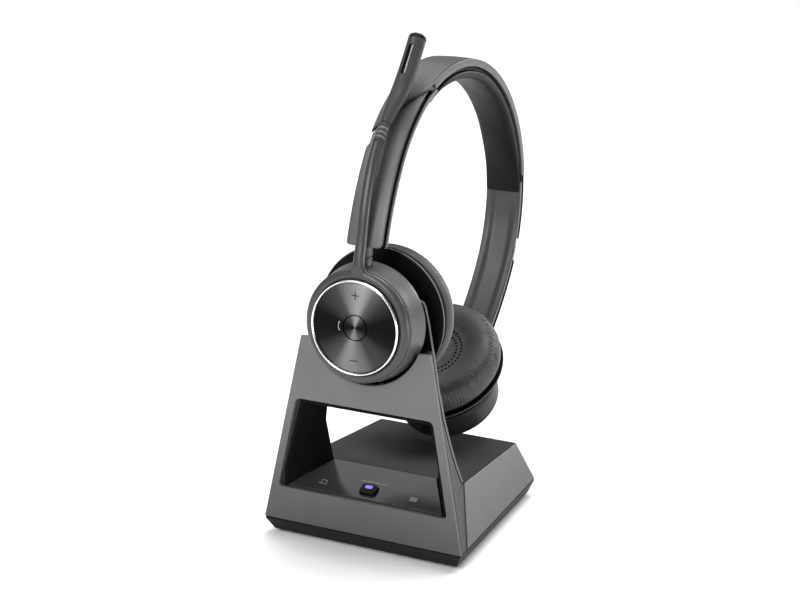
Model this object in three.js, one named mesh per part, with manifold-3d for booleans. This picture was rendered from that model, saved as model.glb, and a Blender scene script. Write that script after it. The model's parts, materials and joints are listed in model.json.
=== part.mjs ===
// A two-ear wireless office headset with its mic boom folded up, standing in a desk charging base.
// Millimetres, +Z up, the table at z = 0, x = 0 the plane of symmetry, the base's front towards -Y.
// "left" is the docked ear cup with the boom, "right" the cup that hangs free over the base's deck.
import * as THREE from 'three';
import { ConvexGeometry } from 'three/addons/geometries/ConvexGeometry.js';
import { mergeVertices } from 'three/addons/utils/BufferGeometryUtils.js';
import Module from 'manifold-3d';

const wasm = await Module();
wasm.setup();

// ---- driving dimensions ----------------------------------------------------------------------
const GAP = 0.3;
const RAD = Math.PI / 180;
const MIDDLE_Y = 31.85;

// charging base
const PLINTH = { bottom: 1.0, top: 7.3, inset: 3.2, wall: 2.2 };
const FRONT_Y = -40;
const REAR_Y = 53.85;
const FRONT_HALF = 47.5;
const REAR_HALF = 40.64;
const FRONT_LEAN = 3.19;
const SIDE_TAPER = 0.2007;
const SHOULDER_Z = 91.5;
const DECK = { frontY: -16.7, frontZ: 30.6, frontHalf: 37.85, rearY: 45.42, rearZ: 26.9, rearHalf: 34.57 };
const HOUSE_LOW = { z: 7.6, y: -32, half: 47 };
const WALL = 2.2;
const LINER_T = 1.1;
const PANEL_T = 2.1;
const BACK_T = 1.6;
const BACK_TOP_Z = 112;
// height, half width and depth of the upright frame's rear edge, from the deck to the top
const REAR_EDGE = [
  [30.6, 37.85, -16.7],
  [38, 35.9, -18.5],
  [46, 34.1, -20.0],
  [60, 31.4, -22.0],
  [72, 29.4, -22.9],
  [85, 27.7, -23.5],
  [102, 25.2, -24.2],
  [112, 23.7, -24.6],
];
const WINDOW = {
  lowZ: 22.5, lowHalf: 40.7, highZ: 63.6, highHalf: 32.67, rearHalf: 25.3, rearHighHalf: 24.4, rearHighZ: 60,
};
const TOUCH = { frontY: -36.6, frontZ: 23.4, frontHalf: 37.2, thick: 1.5 };
const BUTTON = { w: 7.4, d: 5.6, h: 2.4, y: -31.6 };
const SADDLE = { r: 27.2, wall: 1.5, clear: 27.0 };
const PIN_ANGLE = 14;

// headband: an arc about the crown centre, running on into two straighter arms
const BAND = {
  r: 70.5, armR: 130, width: 17.6, shell: 1.6, padOuter: 5.3, padInner: 9.6, liner: [3.6, 5.0],
};
const SLIDER = { d0: 1.9, d1: 3.3, width: 13.4 };
const CROWN = new THREE.Vector3(0, 39.07, 130.22);
const LEAN = 32;
const RIGHT_REACH = 2.5;
const SEAM = { centre: 67.5, window: 6.5, slant: 60 };
const LIP_END = 55;
const PAD_END = 60;
const CARRIER_END = 42;
const LINER_START = 48;
const SLIDER_START = 36;
const ARM_END = 15.9;
const ARM_PIVOT = 14.7;
const ARM_MID = 2.5;

// ear cups: r is measured from the cup's axis, d along it from the control disc towards the head
const CUP_REACH = 35.2;
const CUP_D = 10;
const LEFT_TILT = -3.2;
const RIGHT_TILT = -57;
const RING = { r: 19.8, section: 0.95, d: 0.35 };
const HUB = { inner: 19.5, face: 21.2, outer: 24.2, d0: 0.9, d1: 3.8 };
const HOUSING = { d0: 4.15, d1: 15.8, front: 24.4, rear: 25.8, wall: 1.6, boss: 18.9 };
const NECK = { r: 9.6, d1: 23.4 };
const PLATE = { r: 30, d0: 23.8, d1: 25.5 };
const CUSHION = { d0: 25.8, d1: 39.6, r: 30 };
const SEGMENTS = 32;

// ---- materials -------------------------------------------------------------------------------
const finish = (color, roughness, metalness = 0) => (
  new THREE.MeshStandardMaterial({ color, roughness, metalness })
);
const SATIN = finish(0x8a8a8c, 0.4);
const LIGHT = finish(0xa9a9ab, 0.42);
const MATTE = finish(0x5a5a5c, 0.7);
const BLACK = finish(0x121214, 0.55);
const GLOSS = finish(0x6a6a6e, 0.08);
const LEATHER = finish(0x4a4a4c, 0.6);
const STEEL = finish(0x8c8f93, 0.3, 1);
const CHROME = finish(0xf2f2f2, 0.12, 1);
const DISC = finish(0x6c6c70, 0.25, 0.9);
const RUBBER = finish(0x1b1b1b, 0.9);
const BOARD = finish(0x1f4a33, 0.6);
const BRASS = finish(0xc8a24a, 0.3, 1);
const LIGHT_PIPE = finish(0xd8d8da, 0.4);

// ---- solids ----------------------------------------------------------------------------------
const v3 = (x, y, z) => new THREE.Vector3(x, y, z);

// a closed geometry with shared vertices, no empty triangles and its faces pointing out
function closed(source) {
  const plain = source.clone();
  plain.deleteAttribute('normal');
  plain.deleteAttribute('uv');
  const merged = mergeVertices(plain, 1e-4);
  const index = merged.getIndex().array;
  const kept = [];
  let volume = 0;
  const [a, b, c] = [v3(), v3(), v3()];
  for (let i = 0; i < index.length; i += 3) {
    const [p, q, r] = [index[i], index[i + 1], index[i + 2]];
    if (p === q || q === r || r === p) continue;
    kept.push(p, q, r);
    a.fromBufferAttribute(merged.attributes.position, p);
    b.fromBufferAttribute(merged.attributes.position, q);
    c.fromBufferAttribute(merged.attributes.position, r);
    volume += a.dot(b.cross(c));
  }
  if (volume < 0) kept.reverse();
  merged.setIndex(kept);
  return merged;
}

function toManifold(geometry) {
  const g = closed(geometry);
  const vertProperties = new Float32Array(g.attributes.position.array);
  const triVerts = new Uint32Array(g.getIndex().array);
  return new wasm.Manifold(new wasm.Mesh({ numProp: 3, vertProperties, triVerts }));
}

function fromManifold(solid) {
  const mesh = solid.getMesh();
  const g = new THREE.BufferGeometry();
  g.setAttribute('position', new THREE.BufferAttribute(new Float32Array(mesh.vertProperties), 3));
  g.setIndex(Array.from(mesh.triVerts));
  return g;
}

function cut(geometry, ...tools) {
  let solid = toManifold(geometry);
  for (const tool of tools) solid = solid.subtract(toManifold(tool));
  return fromManifold(solid);
}

function join(geometry, ...others) {
  let solid = toManifold(geometry);
  for (const other of others) solid = solid.add(toManifold(other));
  return fromManifold(solid);
}

const keep = (geometry, tool) => fromManifold(toManifold(geometry).intersect(toManifold(tool)));

const hull = (points) => new ConvexGeometry(points);

function box(low, high) {
  const g = new THREE.BoxGeometry(high[0] - low[0], high[1] - low[1], high[2] - low[2]);
  return g.translate((low[0] + high[0]) / 2, (low[1] + high[1]) / 2, (low[2] + high[2]) / 2);
}

// a solid through rings of points, with convex end faces
function loft(rings) {
  const count = rings[0].length;
  const points = rings.flat();
  const index = [];
  for (let k = 0; k + 1 < rings.length; k += 1) {
    for (let i = 0; i < count; i += 1) {
      const a = k * count + i;
      const b = k * count + ((i + 1) % count);
      index.push(a, b, b + count, a, b + count, a + count);
    }
  }
  const last = (rings.length - 1) * count;
  for (let i = 1; i + 1 < count; i += 1) {
    index.push(0, i + 1, i, last, last + i, last + i + 1);
  }
  const g = new THREE.BufferGeometry().setFromPoints(points);
  g.setIndex(index);
  return g;
}

// a solid of revolution about the local Y axis from [radius, depth] pairs
function turned(profile, segments = SEGMENTS) {
  const points = profile.map(([r, d]) => new THREE.Vector2(r, d));
  return new THREE.LatheGeometry(points, segments);
}

// a washer or tube section: its profile closes on itself
function turnedRing(profile, segments = SEGMENTS) {
  return turned([...profile, profile[0]], segments);
}

// a polygon with its corners rounded
function roundedShape(corners, radius) {
  const shape = new THREE.Shape();
  const count = corners.length;
  corners.forEach((corner, i) => {
    const p = new THREE.Vector2(...corner);
    const before = new THREE.Vector2(...corners[(i + count - 1) % count]).sub(p).setLength(radius).add(p);
    const after = new THREE.Vector2(...corners[(i + 1) % count]).sub(p).setLength(radius).add(p);
    if (i === 0) shape.moveTo(before.x, before.y);
    else shape.lineTo(before.x, before.y);
    shape.quadraticCurveTo(p.x, p.y, after.x, after.y);
  });
  shape.closePath();
  return shape;
}

const rectangle = (x0, y0, x1, y1) => [[x0, y0], [x1, y0], [x1, y1], [x0, y1]];

function plate(shape, depth, bevel = 0) {
  return new THREE.ExtrudeGeometry(shape, {
    depth: depth - 2 * bevel,
    bevelEnabled: bevel > 0,
    bevelThickness: bevel,
    bevelSize: bevel,
    bevelOffset: -bevel,
    bevelSegments: 1,
    curveSegments: 4,
  }).translate(0, 0, bevel);
}

// ---- scene graph helpers ---------------------------------------------------------------------
const headset = new THREE.Group();
const base = new THREE.Group();

function add(parent, name, geometry, material) {
  const mesh = new THREE.Mesh(closed(geometry), material);
  mesh.name = name;
  parent.add(mesh);
  return mesh;
}

// ---- charging base: plinth -------------------------------------------------------------------
const outline = (z, inset) => [
  v3(-FRONT_HALF + inset, FRONT_Y + inset, z),
  v3(FRONT_HALF - inset, FRONT_Y + inset, z),
  v3(REAR_HALF - inset * 0.72, REAR_Y - inset * 0.78, z),
  v3(-REAR_HALF + inset * 0.72, REAR_Y - inset * 0.78, z),
];
const trayCavity = loft([outline(3.2, 6.2), outline(PLINTH.top + 1, PLINTH.wall + 0.6)]);
const tray = loft([
  outline(PLINTH.bottom, PLINTH.inset), outline(PLINTH.top - 0.6, 0.15), outline(PLINTH.top, 0.15),
]);
const footSpots = [[-34, -29], [34, -29], [30, 42], [-30, 42]];
const footPad = (grow) => (
  new THREE.CylinderGeometry(5.5 + grow, 5.5 + grow, 1.6 + grow, 20).rotateX(Math.PI / 2)
);
const footHoles = footSpots.map(([x, y]) => footPad(GAP).translate(x, y, 0.8));
add(base, 'plinth_tray', cut(tray, trayCavity, ...footHoles), BLACK);
footSpots.forEach(([x, y], i) => {
  add(base, `foot_${i + 1}`, footPad(0).translate(x, y, 0.8), RUBBER);
});
add(base, 'ballast_plate', box([-28, -24, 3.6], [28, 40, 6.4]), STEEL);
add(base, 'dock_circuit_board', box([-26, -14, 9.2], [26, 46, 10.8]), BOARD);

// ---- charging base: lower house, mitred wall panels ------------------------------------------
const houseCorner = (side, level, end) => {
  if (end === 'front' && level === 'low') return v3(side * HOUSE_LOW.half, HOUSE_LOW.y, HOUSE_LOW.z);
  if (end === 'front') return v3(side * DECK.frontHalf, DECK.frontY, DECK.frontZ);
  if (level === 'low') return v3(side * REAR_HALF, REAR_Y, HOUSE_LOW.z);
  return v3(side * DECK.rearHalf, DECK.rearY, DECK.rearZ);
};
const innerCorner = (side, level, end) => {
  const p = houseCorner(side, level, end);
  p.x -= side * WALL * 1.08;
  p.z -= level === 'high' ? WALL : 0;
  p.y -= end === 'rear' ? WALL : 0;
  return p;
};
// a wall between the outer and inner corners, drawn in a little so that its neighbours stay clear
function wallPanel(corners) {
  const centre = v3();
  for (const c of corners) centre.add(houseCorner(...c));
  centre.divideScalar(corners.length);
  const drawn = (p) => p.clone().add(centre.clone().sub(p).setLength(0.32));
  const outside = corners.map((c) => drawn(houseCorner(...c)));
  const inside = corners.map((c) => drawn(innerCorner(...c)));
  return hull([...outside, ...inside]);
}
const sideWall = (side) => wallPanel([
  [side, 'low', 'front'], [side, 'high', 'front'], [side, 'high', 'rear'], [side, 'low', 'rear'],
]);
add(base, 'left_side_panel', sideWall(-1), LIGHT);
add(base, 'right_side_panel', sideWall(1), LIGHT);
const deckWall = wallPanel([
  [-1, 'high', 'front'], [1, 'high', 'front'], [1, 'high', 'rear'], [-1, 'high', 'rear'],
]);
add(base, 'deck_cover', deckWall, MATTE);

const rearWall = wallPanel([
  [-1, 'low', 'rear'], [1, 'low', 'rear'], [1, 'high', 'rear'], [-1, 'high', 'rear'],
]);
// sockets in the rear wall: name, centre x, half width, half height
const SOCKETS = [
  ['power_inlet', -20, 4.6, 3.6], ['usb_socket', 0, 6.6, 3.2], ['phone_socket', 21, 6.2, 4.4],
];
const SOCKET_Z = 16;
const socketHole = ([, x, w, h]) => (
  box([x - w - GAP, 44, SOCKET_Z - h - GAP], [x + w + GAP, 60, SOCKET_Z + h + GAP])
);
add(base, 'rear_panel', cut(rearWall, ...SOCKETS.map(socketHole)), MATTE);
SOCKETS.forEach(([name, x, w, h]) => {
  const shell = box([x - w, 38, SOCKET_Z - h], [x + w, 49.4, SOCKET_Z + h]);
  const mouth = box([x - w + 1.1, 40, SOCKET_Z - h + 1.1], [x + w - 1.1, 52, SOCKET_Z + h - 1.1]);
  add(base, name, cut(shell, mouth), name === 'usb_socket' ? STEEL : BLACK);
});

// ---- charging base: upright frame ------------------------------------------------------------
const frontHalf = (z) => FRONT_HALF - SIDE_TAPER * (z - PLINTH.top);
const frontY = (z) => FRONT_Y + (z - PLINTH.top) * Math.tan(FRONT_LEAN * RAD);
const behindPanel = (z) => frontY(z) + PANEL_T + GAP;
const frameRing = (z, rearHalf, rearY) => {
  const y0 = behindPanel(z);
  return [
    v3(-frontHalf(z), y0, z), v3(frontHalf(z), y0, z), v3(rearHalf, rearY, z), v3(-rearHalf, rearY, z),
  ];
};
// the outline of the see-through window's walls, grown outwards by t, run past both faces
function windowTunnel(t) {
  const front = -48;
  const rear = -10;
  const span = (half, z, rearHalf, rearZ) => {
    const at = (y) => {
      const share = (y - FRONT_Y) / (DECK.frontY - FRONT_Y);
      return [half + (rearHalf - half) * share, z + (rearZ - z) * share];
    };
    return [...[front, rear].map((y) => [y, ...at(y)])];
  };
  const low = span(
    WINDOW.lowHalf - 0.9 + t, WINDOW.lowZ - 2.1 - t, WINDOW.rearHalf + t, DECK.frontZ - 1.9 - t,
  );
  const high = span(
    WINDOW.highHalf - 0.6 + t, WINDOW.highZ - 0.5 - LINER_T + t, WINDOW.rearHighHalf + t, WINDOW.rearHighZ + t,
  );
  return hull([...low, ...high].flatMap(([y, x, z]) => [v3(x, y, z), v3(-x, y, z)]));
}

// the docked cup's place: its pivot in the arm, then its axis
const crownTurn = new THREE.Matrix4().makeRotationX(-LEAN * RAD);
const toWorld = (p) => p.clone().applyMatrix4(crownTurn).add(CROWN);
const armPoint = (side, angle, depth, reach = 0) => {
  const centre = -(BAND.armR - BAND.r);
  const r = BAND.armR - depth;
  const p = v3(0, side * (centre + r * Math.cos(angle * RAD)), -r * Math.sin(angle * RAD));
  return p.applyAxisAngle(v3(1, 0, 0), -side * reach * RAD);
};
const leftPivot = toWorld(armPoint(-1, ARM_PIVOT, ARM_MID));
const rightPivot = toWorld(armPoint(1, ARM_PIVOT, ARM_MID, RIGHT_REACH));

const leftCup = new THREE.Group();
leftCup.position.copy(leftPivot);
leftCup.rotation.set(LEFT_TILT * RAD, 0, 0);
leftCup.updateMatrixWorld(true);
const rightCup = new THREE.Group();
rightCup.position.copy(rightPivot);
rightCup.rotation.set(RIGHT_TILT * RAD, 0, Math.PI);
headset.add(leftCup, rightCup);

// cup geometry is drawn about the axis with d = 0 at the control disc, then set below the pivot
const onCup = (geometry) => geometry.clone().translate(0, -CUP_D, -CUP_REACH);
const onCradle = (geometry) => onCup(geometry).applyMatrix4(leftCup.matrixWorld);
const cupCylinder = (r, d0, d1) => turned([[0, d0], [r, d0], [r, d1], [0, d1]]);

const behindSheet = BACK_T + GAP + 0.15;
const frameRings = [
  frameRing(HOUSE_LOW.z, HOUSE_LOW.half - 0.3, HOUSE_LOW.y - 0.4),
  frameRing(DECK.frontZ - 0.1, DECK.frontHalf - 0.2, DECK.frontY - 0.3),
  frameRing(DECK.frontZ + 0.1, DECK.frontHalf - 0.2, DECK.frontY - behindSheet),
];
for (const [z, half, y] of REAR_EDGE.filter((e) => e[0] > 31 && e[0] < 90)) {
  frameRings.push(frameRing(z, half - 0.2, y - behindSheet));
}
frameRings.push(frameRing(SHOULDER_Z - 0.4, 26.7, -23.75 - behindSheet));
const frameCavity = hull([
  ...[-1, 1].flatMap((s) => [
    v3(s * 43.5, -35, 6), v3(s * 43.5, -34.2, 6), v3(s * 40.5, -34.6, 17), v3(s * 36.5, -21.5, 22.5),
  ]),
]);
const pinAt = (side, r0, r1, radius) => {
  const pin = new THREE.CylinderGeometry(radius, radius, r1 - r0, 16).rotateX(Math.PI / 2);
  pin.translate(0, 17.3 - 4.2, -(r0 + r1) / 2);
  return onCradle(pin.rotateY(side * PIN_ANGLE * RAD));
};
const frameBody = cut(
  loft(frameRings),
  windowTunnel(LINER_T + GAP),
  onCradle(cupCylinder(SADDLE.r + SADDLE.wall + GAP, -10, 30)),
  frameCavity,
  pinAt(-1, 20, 33.4, 1.5),
  pinAt(1, 20, 33.4, 1.5),
);
add(base, 'cradle_frame', frameBody, MATTE);

const linerTrim = hull([
  v3(-60, behindPanel(10), 10), v3(60, behindPanel(10), 10),
  v3(-60, behindPanel(80), 80), v3(60, behindPanel(80), 80),
  v3(-60, -16.9, 10), v3(60, -16.9, 10), v3(-60, -16.9, 30.6), v3(60, -16.9, 30.6),
  v3(-60, -22.2, 60), v3(60, -22.2, 60), v3(-60, -23.0, 80), v3(60, -23.0, 80),
]);
const sillStep = box([-60, -60, 0], [60, frontY(WINDOW.lowZ) + PANEL_T + 0.5, WINDOW.lowZ + GAP]);
const windowWalls = keep(cut(windowTunnel(LINER_T), windowTunnel(0)), linerTrim);
add(base, 'window_liner', cut(windowWalls, sillStep), BLACK);

// the saddle that carries the docked cup: an arc of a ring, open at the top
const saddleRing = turnedRing([
  [SADDLE.r, 6.9], [SADDLE.r + SADDLE.wall, 6.9], [SADDLE.r + SADDLE.wall, 18.2], [SADDLE.r, 18.2],
]);
const saddleTrim = hull([
  v3(-40, behindPanel(60), 60), v3(40, behindPanel(60), 60),
  v3(-40, behindPanel(91), SHOULDER_Z - 0.4), v3(40, behindPanel(91), SHOULDER_Z - 0.4),
  v3(-40, -24.9, 60), v3(40, -24.9, 60), v3(-40, -25.7, SHOULDER_Z - 0.4), v3(40, -25.7, SHOULDER_Z - 0.4),
]);
const seat = keep(onCradle(saddleRing), saddleTrim);
const saddle = cut(seat, pinAt(-1, 20, 33.4, 1.5), pinAt(1, 20, 33.4, 1.5));
add(base, 'cradle_saddle', saddle, BLACK);
add(base, 'charge_pin_left', pinAt(-1, 26.5, 33, 1.2), BRASS);
add(base, 'charge_pin_right', pinAt(1, 26.5, 33, 1.2), BRASS);

// rear sheet of the frame, notched for the cup's neck
const backRing = (z, half, y) => [
  v3(-half, y - BACK_T, z), v3(half, y - BACK_T, z), v3(half, y, z), v3(-half, y, z),
];
const backRings = [backRing(DECK.frontZ + 0.5, 37.7, DECK.frontY - 0.12)];
for (const [z, half, y] of REAR_EDGE.slice(1, -1)) backRings.push(backRing(z, half, y));
backRings.push(backRing(BACK_TOP_Z - 2.6, 23.7, -24.5));
backRings.push(backRing(BACK_TOP_Z - 0.8, 22.8, -24.57));
backRings.push(backRing(BACK_TOP_Z, 21, -24.6));
const neckNotch = hull([-1, 1].flatMap((s) => [
  ...Array.from({ length: 9 }, (_, i) => {
    const turn = (i / 8) * 90 * RAD;
    return [10, 40].map((d) => v3(s * 12.6 * Math.sin(turn), d, -12.6 * Math.cos(turn)));
  }).flat(),
  ...[10, 40].map((d) => v3(s * 13.6, d, 30)),
]));
const backSheet = cut(loft(backRings), windowTunnel(LINER_T + GAP), onCradle(neckNotch));
add(base, 'back_panel', backSheet, SATIN);

// front panel: drawn flat, then leaned back
const panelUp = (z) => (z - PLINTH.top) / Math.cos(FRONT_LEAN * RAD);
const cupAxisPoint = v3(0, 0, -CUP_REACH).applyMatrix4(leftCup.matrixWorld);
const cutCentre = panelUp(cupAxisPoint.z);
const shoulderUp = panelUp(SHOULDER_Z);
const cutHalf = Math.sqrt(SADDLE.clear ** 2 - (cutCentre - shoulderUp) ** 2);
const panelShape = new THREE.Shape();
panelShape.moveTo(-FRONT_HALF, 0);
panelShape.lineTo(FRONT_HALF, 0);
panelShape.lineTo(frontHalf(SHOULDER_Z), shoulderUp);
panelShape.lineTo(cutHalf, shoulderUp);
const arcEnd = Math.atan2(shoulderUp - cutCentre, cutHalf);
for (let i = 1; i < 24; i += 1) {
  const turn = arcEnd + (i / 24) * (-Math.PI - 2 * arcEnd);
  panelShape.lineTo(SADDLE.clear * Math.cos(turn), cutCentre + SADDLE.clear * Math.sin(turn));
}
panelShape.lineTo(-cutHalf, shoulderUp);
panelShape.lineTo(-frontHalf(SHOULDER_Z), shoulderUp);
panelShape.closePath();
const windowCorners = [
  [-WINDOW.lowHalf, panelUp(WINDOW.lowZ)], [WINDOW.lowHalf, panelUp(WINDOW.lowZ)],
  [WINDOW.highHalf, panelUp(WINDOW.highZ)], [-WINDOW.highHalf, panelUp(WINDOW.highZ)],
];
const windowHole = plate(roundedShape(windowCorners, 2.4), PANEL_T + 4).translate(0, 0, -PANEL_T - 2);
const frontPanel = cut(plate(panelShape, PANEL_T, 0.3).translate(0, 0, -PANEL_T), windowHole);
const leanBack = (g) => g.rotateX((90 - FRONT_LEAN) * RAD).translate(0, FRONT_Y, PLINTH.top + 0.35);
add(base, 'front_panel', leanBack(frontPanel), SATIN);

// glossy touch panel that slopes up to the deck, with its button and light line
const touchRise = (DECK.frontZ - TOUCH.frontZ) / (DECK.frontY - TOUCH.frontY);
const touchAt = (y) => TOUCH.frontZ + (y - TOUCH.frontY) * touchRise;
const touchEdge = (y, half, drop) => [v3(-half, y, touchAt(y) - drop), v3(half, y, touchAt(y) - drop)];
const touchBlank = hull([
  ...touchEdge(TOUCH.frontY, TOUCH.frontHalf, 0), ...touchEdge(DECK.frontY - 0.3, WINDOW.rearHalf - 0.4, 0),
  ...touchEdge(TOUCH.frontY, TOUCH.frontHalf, TOUCH.thick),
  ...touchEdge(DECK.frontY - 0.3, WINDOW.rearHalf - 0.4, TOUCH.thick),
]);
const touchSlope = Math.atan2(DECK.frontZ - TOUCH.frontZ, DECK.frontY - TOUCH.frontY);
const onTouch = (g, y, lift) => g.translate(0, 0, lift).rotateX(touchSlope).translate(0, y, touchAt(y));
const buttonShape = (grow) => {
  const [w, d] = [BUTTON.w / 2 + grow, BUTTON.d / 2 + grow];
  return roundedShape(rectangle(-w, -d, w, d), 1.6 + grow);
};
const lightShape = (grow) => (
  roundedShape(rectangle(-6.6 - grow, -0.35 - grow, 6.6 + grow, 0.35 + grow), 0.3)
);
const touchPanel = cut(
  touchBlank,
  onTouch(plate(buttonShape(GAP), 8), BUTTON.y, -4),
  onTouch(plate(lightShape(0.12), 6), -26.5, -3),
);
add(base, 'touch_panel', touchPanel, GLOSS);
add(base, 'dock_button', onTouch(plate(buttonShape(0), BUTTON.h, 0.4), BUTTON.y, -0.55), BLACK);
add(base, 'status_light', onTouch(plate(lightShape(0), 1.0), -26.5, -0.95), LIGHT_PIPE);

// ---- headband --------------------------------------------------------------------------------
// a path along the band's outer surface, by angle from the crown; past 90 degrees it is the arm's arc
class BandPath extends THREE.Curve {
  constructor(from, to) {
    super();
    this.from = from;
    this.to = to;
  }

  getPoint(t, target = new THREE.Vector3()) {
    const length = (this.from + (this.to - this.from) * t) * RAD * BAND.r;
    const side = Math.sign(length) || 1;
    const bend = Math.abs(length) / BAND.r;
    if (bend <= Math.PI / 2) return target.set(0, side * BAND.r * Math.sin(bend), BAND.r * Math.cos(bend));
    const turn = (Math.abs(length) - BAND.r * (Math.PI / 2)) / BAND.armR;
    const y = -(BAND.armR - BAND.r) + BAND.armR * Math.cos(turn);
    return target.set(0, side * y, -BAND.armR * Math.sin(turn));
  }
}
const ARM_TIP = 90 + (ARM_END * BAND.armR) / BAND.r;

function strip(section, from, to, steps) {
  return new THREE.ExtrudeGeometry(section, {
    steps,
    extrudePath: new BandPath(Math.min(from, to), Math.max(from, to)),
    bevelEnabled: false,
    curveSegments: 2,
  });
}
// a section across the band between two depths below its outer surface
const bar = (d0, d1, width, radius) => roundedShape(rectangle(-width / 2, -d1, width / 2, -d0), radius);

const channelShape = () => {
  const [w, lip] = [BAND.width / 2, 1.4];
  const corners = [
    [-w, 0], [w, 0], [w, -SLIDER.d1], [w - lip, -SLIDER.d1], [w - lip, -BAND.shell], [-w + lip, -BAND.shell],
    [-w + lip, -SLIDER.d1], [-w, -SLIDER.d1],
  ];
  return roundedShape(corners.reverse(), 0.5);
};
// a slab whose face is the slanted seam at an angle from the crown, covering the arm's side of it
function seamBlock(side, angle) {
  const block = box([-80, 0, -40], [80, 70, 8]);
  block.rotateZ(side * SEAM.slant * RAD);
  block.translate(0, 0, BAND.r);
  block.rotateX(-angle * RAD);
  return side > 0 ? block : block.scale(1, -1, 1);
}
const tongue = (side) => (
  strip(bar(0, BAND.shell, BAND.width, 0.5), side * (LIP_END - 5), side * (LIP_END + 30), 7)
);
const shellBlank = join(strip(channelShape(), -LIP_END, LIP_END, 22), tongue(-1), tongue(1));
const shell = cut(shellBlank, seamBlock(1, SEAM.centre), seamBlock(-1, SEAM.centre));
const band = new THREE.Group();
band.position.copy(CROWN);
band.rotation.x = -LEAN * RAD;
headset.add(band);
add(band, 'headband_shell', shell, SATIN);
add(band, 'headband_spring', strip(bar(SLIDER.d0, SLIDER.d1 - 0.6, 11, 0.2), -29, 29, 12), STEEL);
const carrierBar = bar(BAND.liner[0], BAND.liner[1], 16.6, 0.3);
add(band, 'headband_carrier', strip(carrierBar, -CARRIER_END, CARRIER_END, 18), BLACK);
const padBar = bar(BAND.padOuter, BAND.padInner, 17.2, 1.7);
add(band, 'headband_pad', strip(padBar, -PAD_END, PAD_END, 22), LEATHER);

// ---- arms ------------------------------------------------------------------------------------
const POCKET = { half: 4.6, deep: [0.7, 4.3] };
function buildArm(side, name, reach) {
  const arm = new THREE.Group();
  arm.rotation.x = -side * reach * RAD;
  band.add(arm);
  const run = (section, from, to, steps) => strip(section, side * from, side * to, steps);
  const pivot = armPoint(side, ARM_PIVOT, ARM_MID);
  const turn = side * (90 + ARM_PIVOT) * RAD;
  const pocket = box(
    [-POCKET.half, -3.2, ARM_MID - POCKET.deep[1]], [POCKET.half, 6, ARM_MID - POCKET.deep[0]],
  );
  if (side < 0) pocket.scale(1, -1, 1);
  pocket.rotateX(-turn).translate(pivot.x, pivot.y, pivot.z);
  const coverBlank = run(bar(0, BAND.shell, BAND.width, 0.5), 60, ARM_TIP, 16);
  const block = seamBlock(side, SEAM.centre + SEAM.window);
  add(arm, `${name}_arm_cover`, cut(keep(coverBlank, block), pocket), SATIN);
  const sliderBar = bar(SLIDER.d0, SLIDER.d1, SLIDER.width, 0.3);
  add(arm, `${name}_arm_slider`, run(sliderBar, SLIDER_START, ARM_TIP - 10.5, 18), LIGHT);
  const lining = run(bar(BAND.liner[0], BAND.liner[1], BAND.width, 0.35), LINER_START, ARM_TIP, 18);
  add(arm, `${name}_arm_liner`, cut(lining, pocket), SATIN);
}
buildArm(-1, 'left', 0);
buildArm(1, 'right', RIGHT_REACH);

// ---- stems: a pin up from the housing, a flat tab and a cross knuckle in the arm ---------------
function stemGeometry() {
  const profile = [
    [0, -14.6], [3.3, -14.6], [3.3, -13.2], [2.1, -13.2], [2.1, -9.4],
    [1.7, -8.6], [1.7, -7.6], [2.1, -6.8], [2.1, -3.9], [0, -3.9],
  ];
  const pin = turned(profile, 18).rotateX(Math.PI / 2);
  const tab = box([-2.6, -0.6, -4.2], [2.6, 0.6, 0]);
  const knuckle = new THREE.CylinderGeometry(1.45, 1.45, 8.2, 16).rotateZ(Math.PI / 2);
  return join(pin, tab, knuckle);
}
add(leftCup, 'left_stem', stemGeometry(), STEEL);
add(rightCup, 'right_stem', stemGeometry(), STEEL);

// ---- ear cups --------------------------------------------------------------------------------
const stemHole = () => (
  new THREE.CylinderGeometry(2.5, 2.5, 16, 20).rotateX(Math.PI / 2).translate(0, CUP_D, 26)
);
const padHole = (side, radius, r0, r1) => {
  const plug = new THREE.CylinderGeometry(radius, radius, r1 - r0, 16).rotateX(Math.PI / 2);
  return plug.translate(0, 13.1, -(r0 + r1) / 2).rotateY(side * PIN_ANGLE * RAD);
};
function housingGeometry(boss) {
  const h = HOUSING;
  const rim = [
    [0, h.d0 - boss], [h.boss, h.d0 - boss], [h.boss, h.d0], [h.front - 0.5, h.d0], [h.front, h.d0 + 0.5],
    [h.front + 0.7, 8.5], [h.rear - 0.15, 13], [h.rear, 14.6], [h.rear - 0.4, h.d1],
    [h.rear - h.wall, h.d1], [h.front - 1.1, h.d0 + h.wall + 1],
    [h.front - 2.4, h.d0 + h.wall], [0, h.d0 + h.wall],
  ];
  return turned(rim);
}
function neckGeometry() {
  return turned([
    [0, 14.0], [23.6, 14.0], [23.6, 15.6], [12.2, 16.4], [NECK.r, 18.2], [NECK.r, NECK.d1], [0, NECK.d1],
  ]);
}
function plateGeometry() {
  return turned([
    [0, PLATE.d0], [28.8, PLATE.d0], [29.8, PLATE.d0 + 0.3],
    [PLATE.r, PLATE.d0 + 0.8], [PLATE.r, PLATE.d1 - 0.3],
    [PLATE.r - 0.4, PLATE.d1], [0, PLATE.d1],
  ]);
}
function cushionGeometry() {
  return turned([
    [13.4, CUSHION.d0], [28.6, CUSHION.d0], [29.7, 28.4], [CUSHION.r, 31.2],
    [29.4, 34.6], [27.6, 37.6], [24.6, 39.3],
    [21.4, CUSHION.d1], [18.2, 38.9], [14.5, 37.4], [0, 36.6], [0, 35.2], [13.4, 35.2], [13.4, CUSHION.d0],
  ]);
}
const DRIVER = [[0, 25.8], [12.9, 25.8], [12.9, 28.6], [11.4, 30.2], [11.4, 32.6], [0, 32.6]];
const driverGeometry = () => turned(DRIVER, 32);

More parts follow.
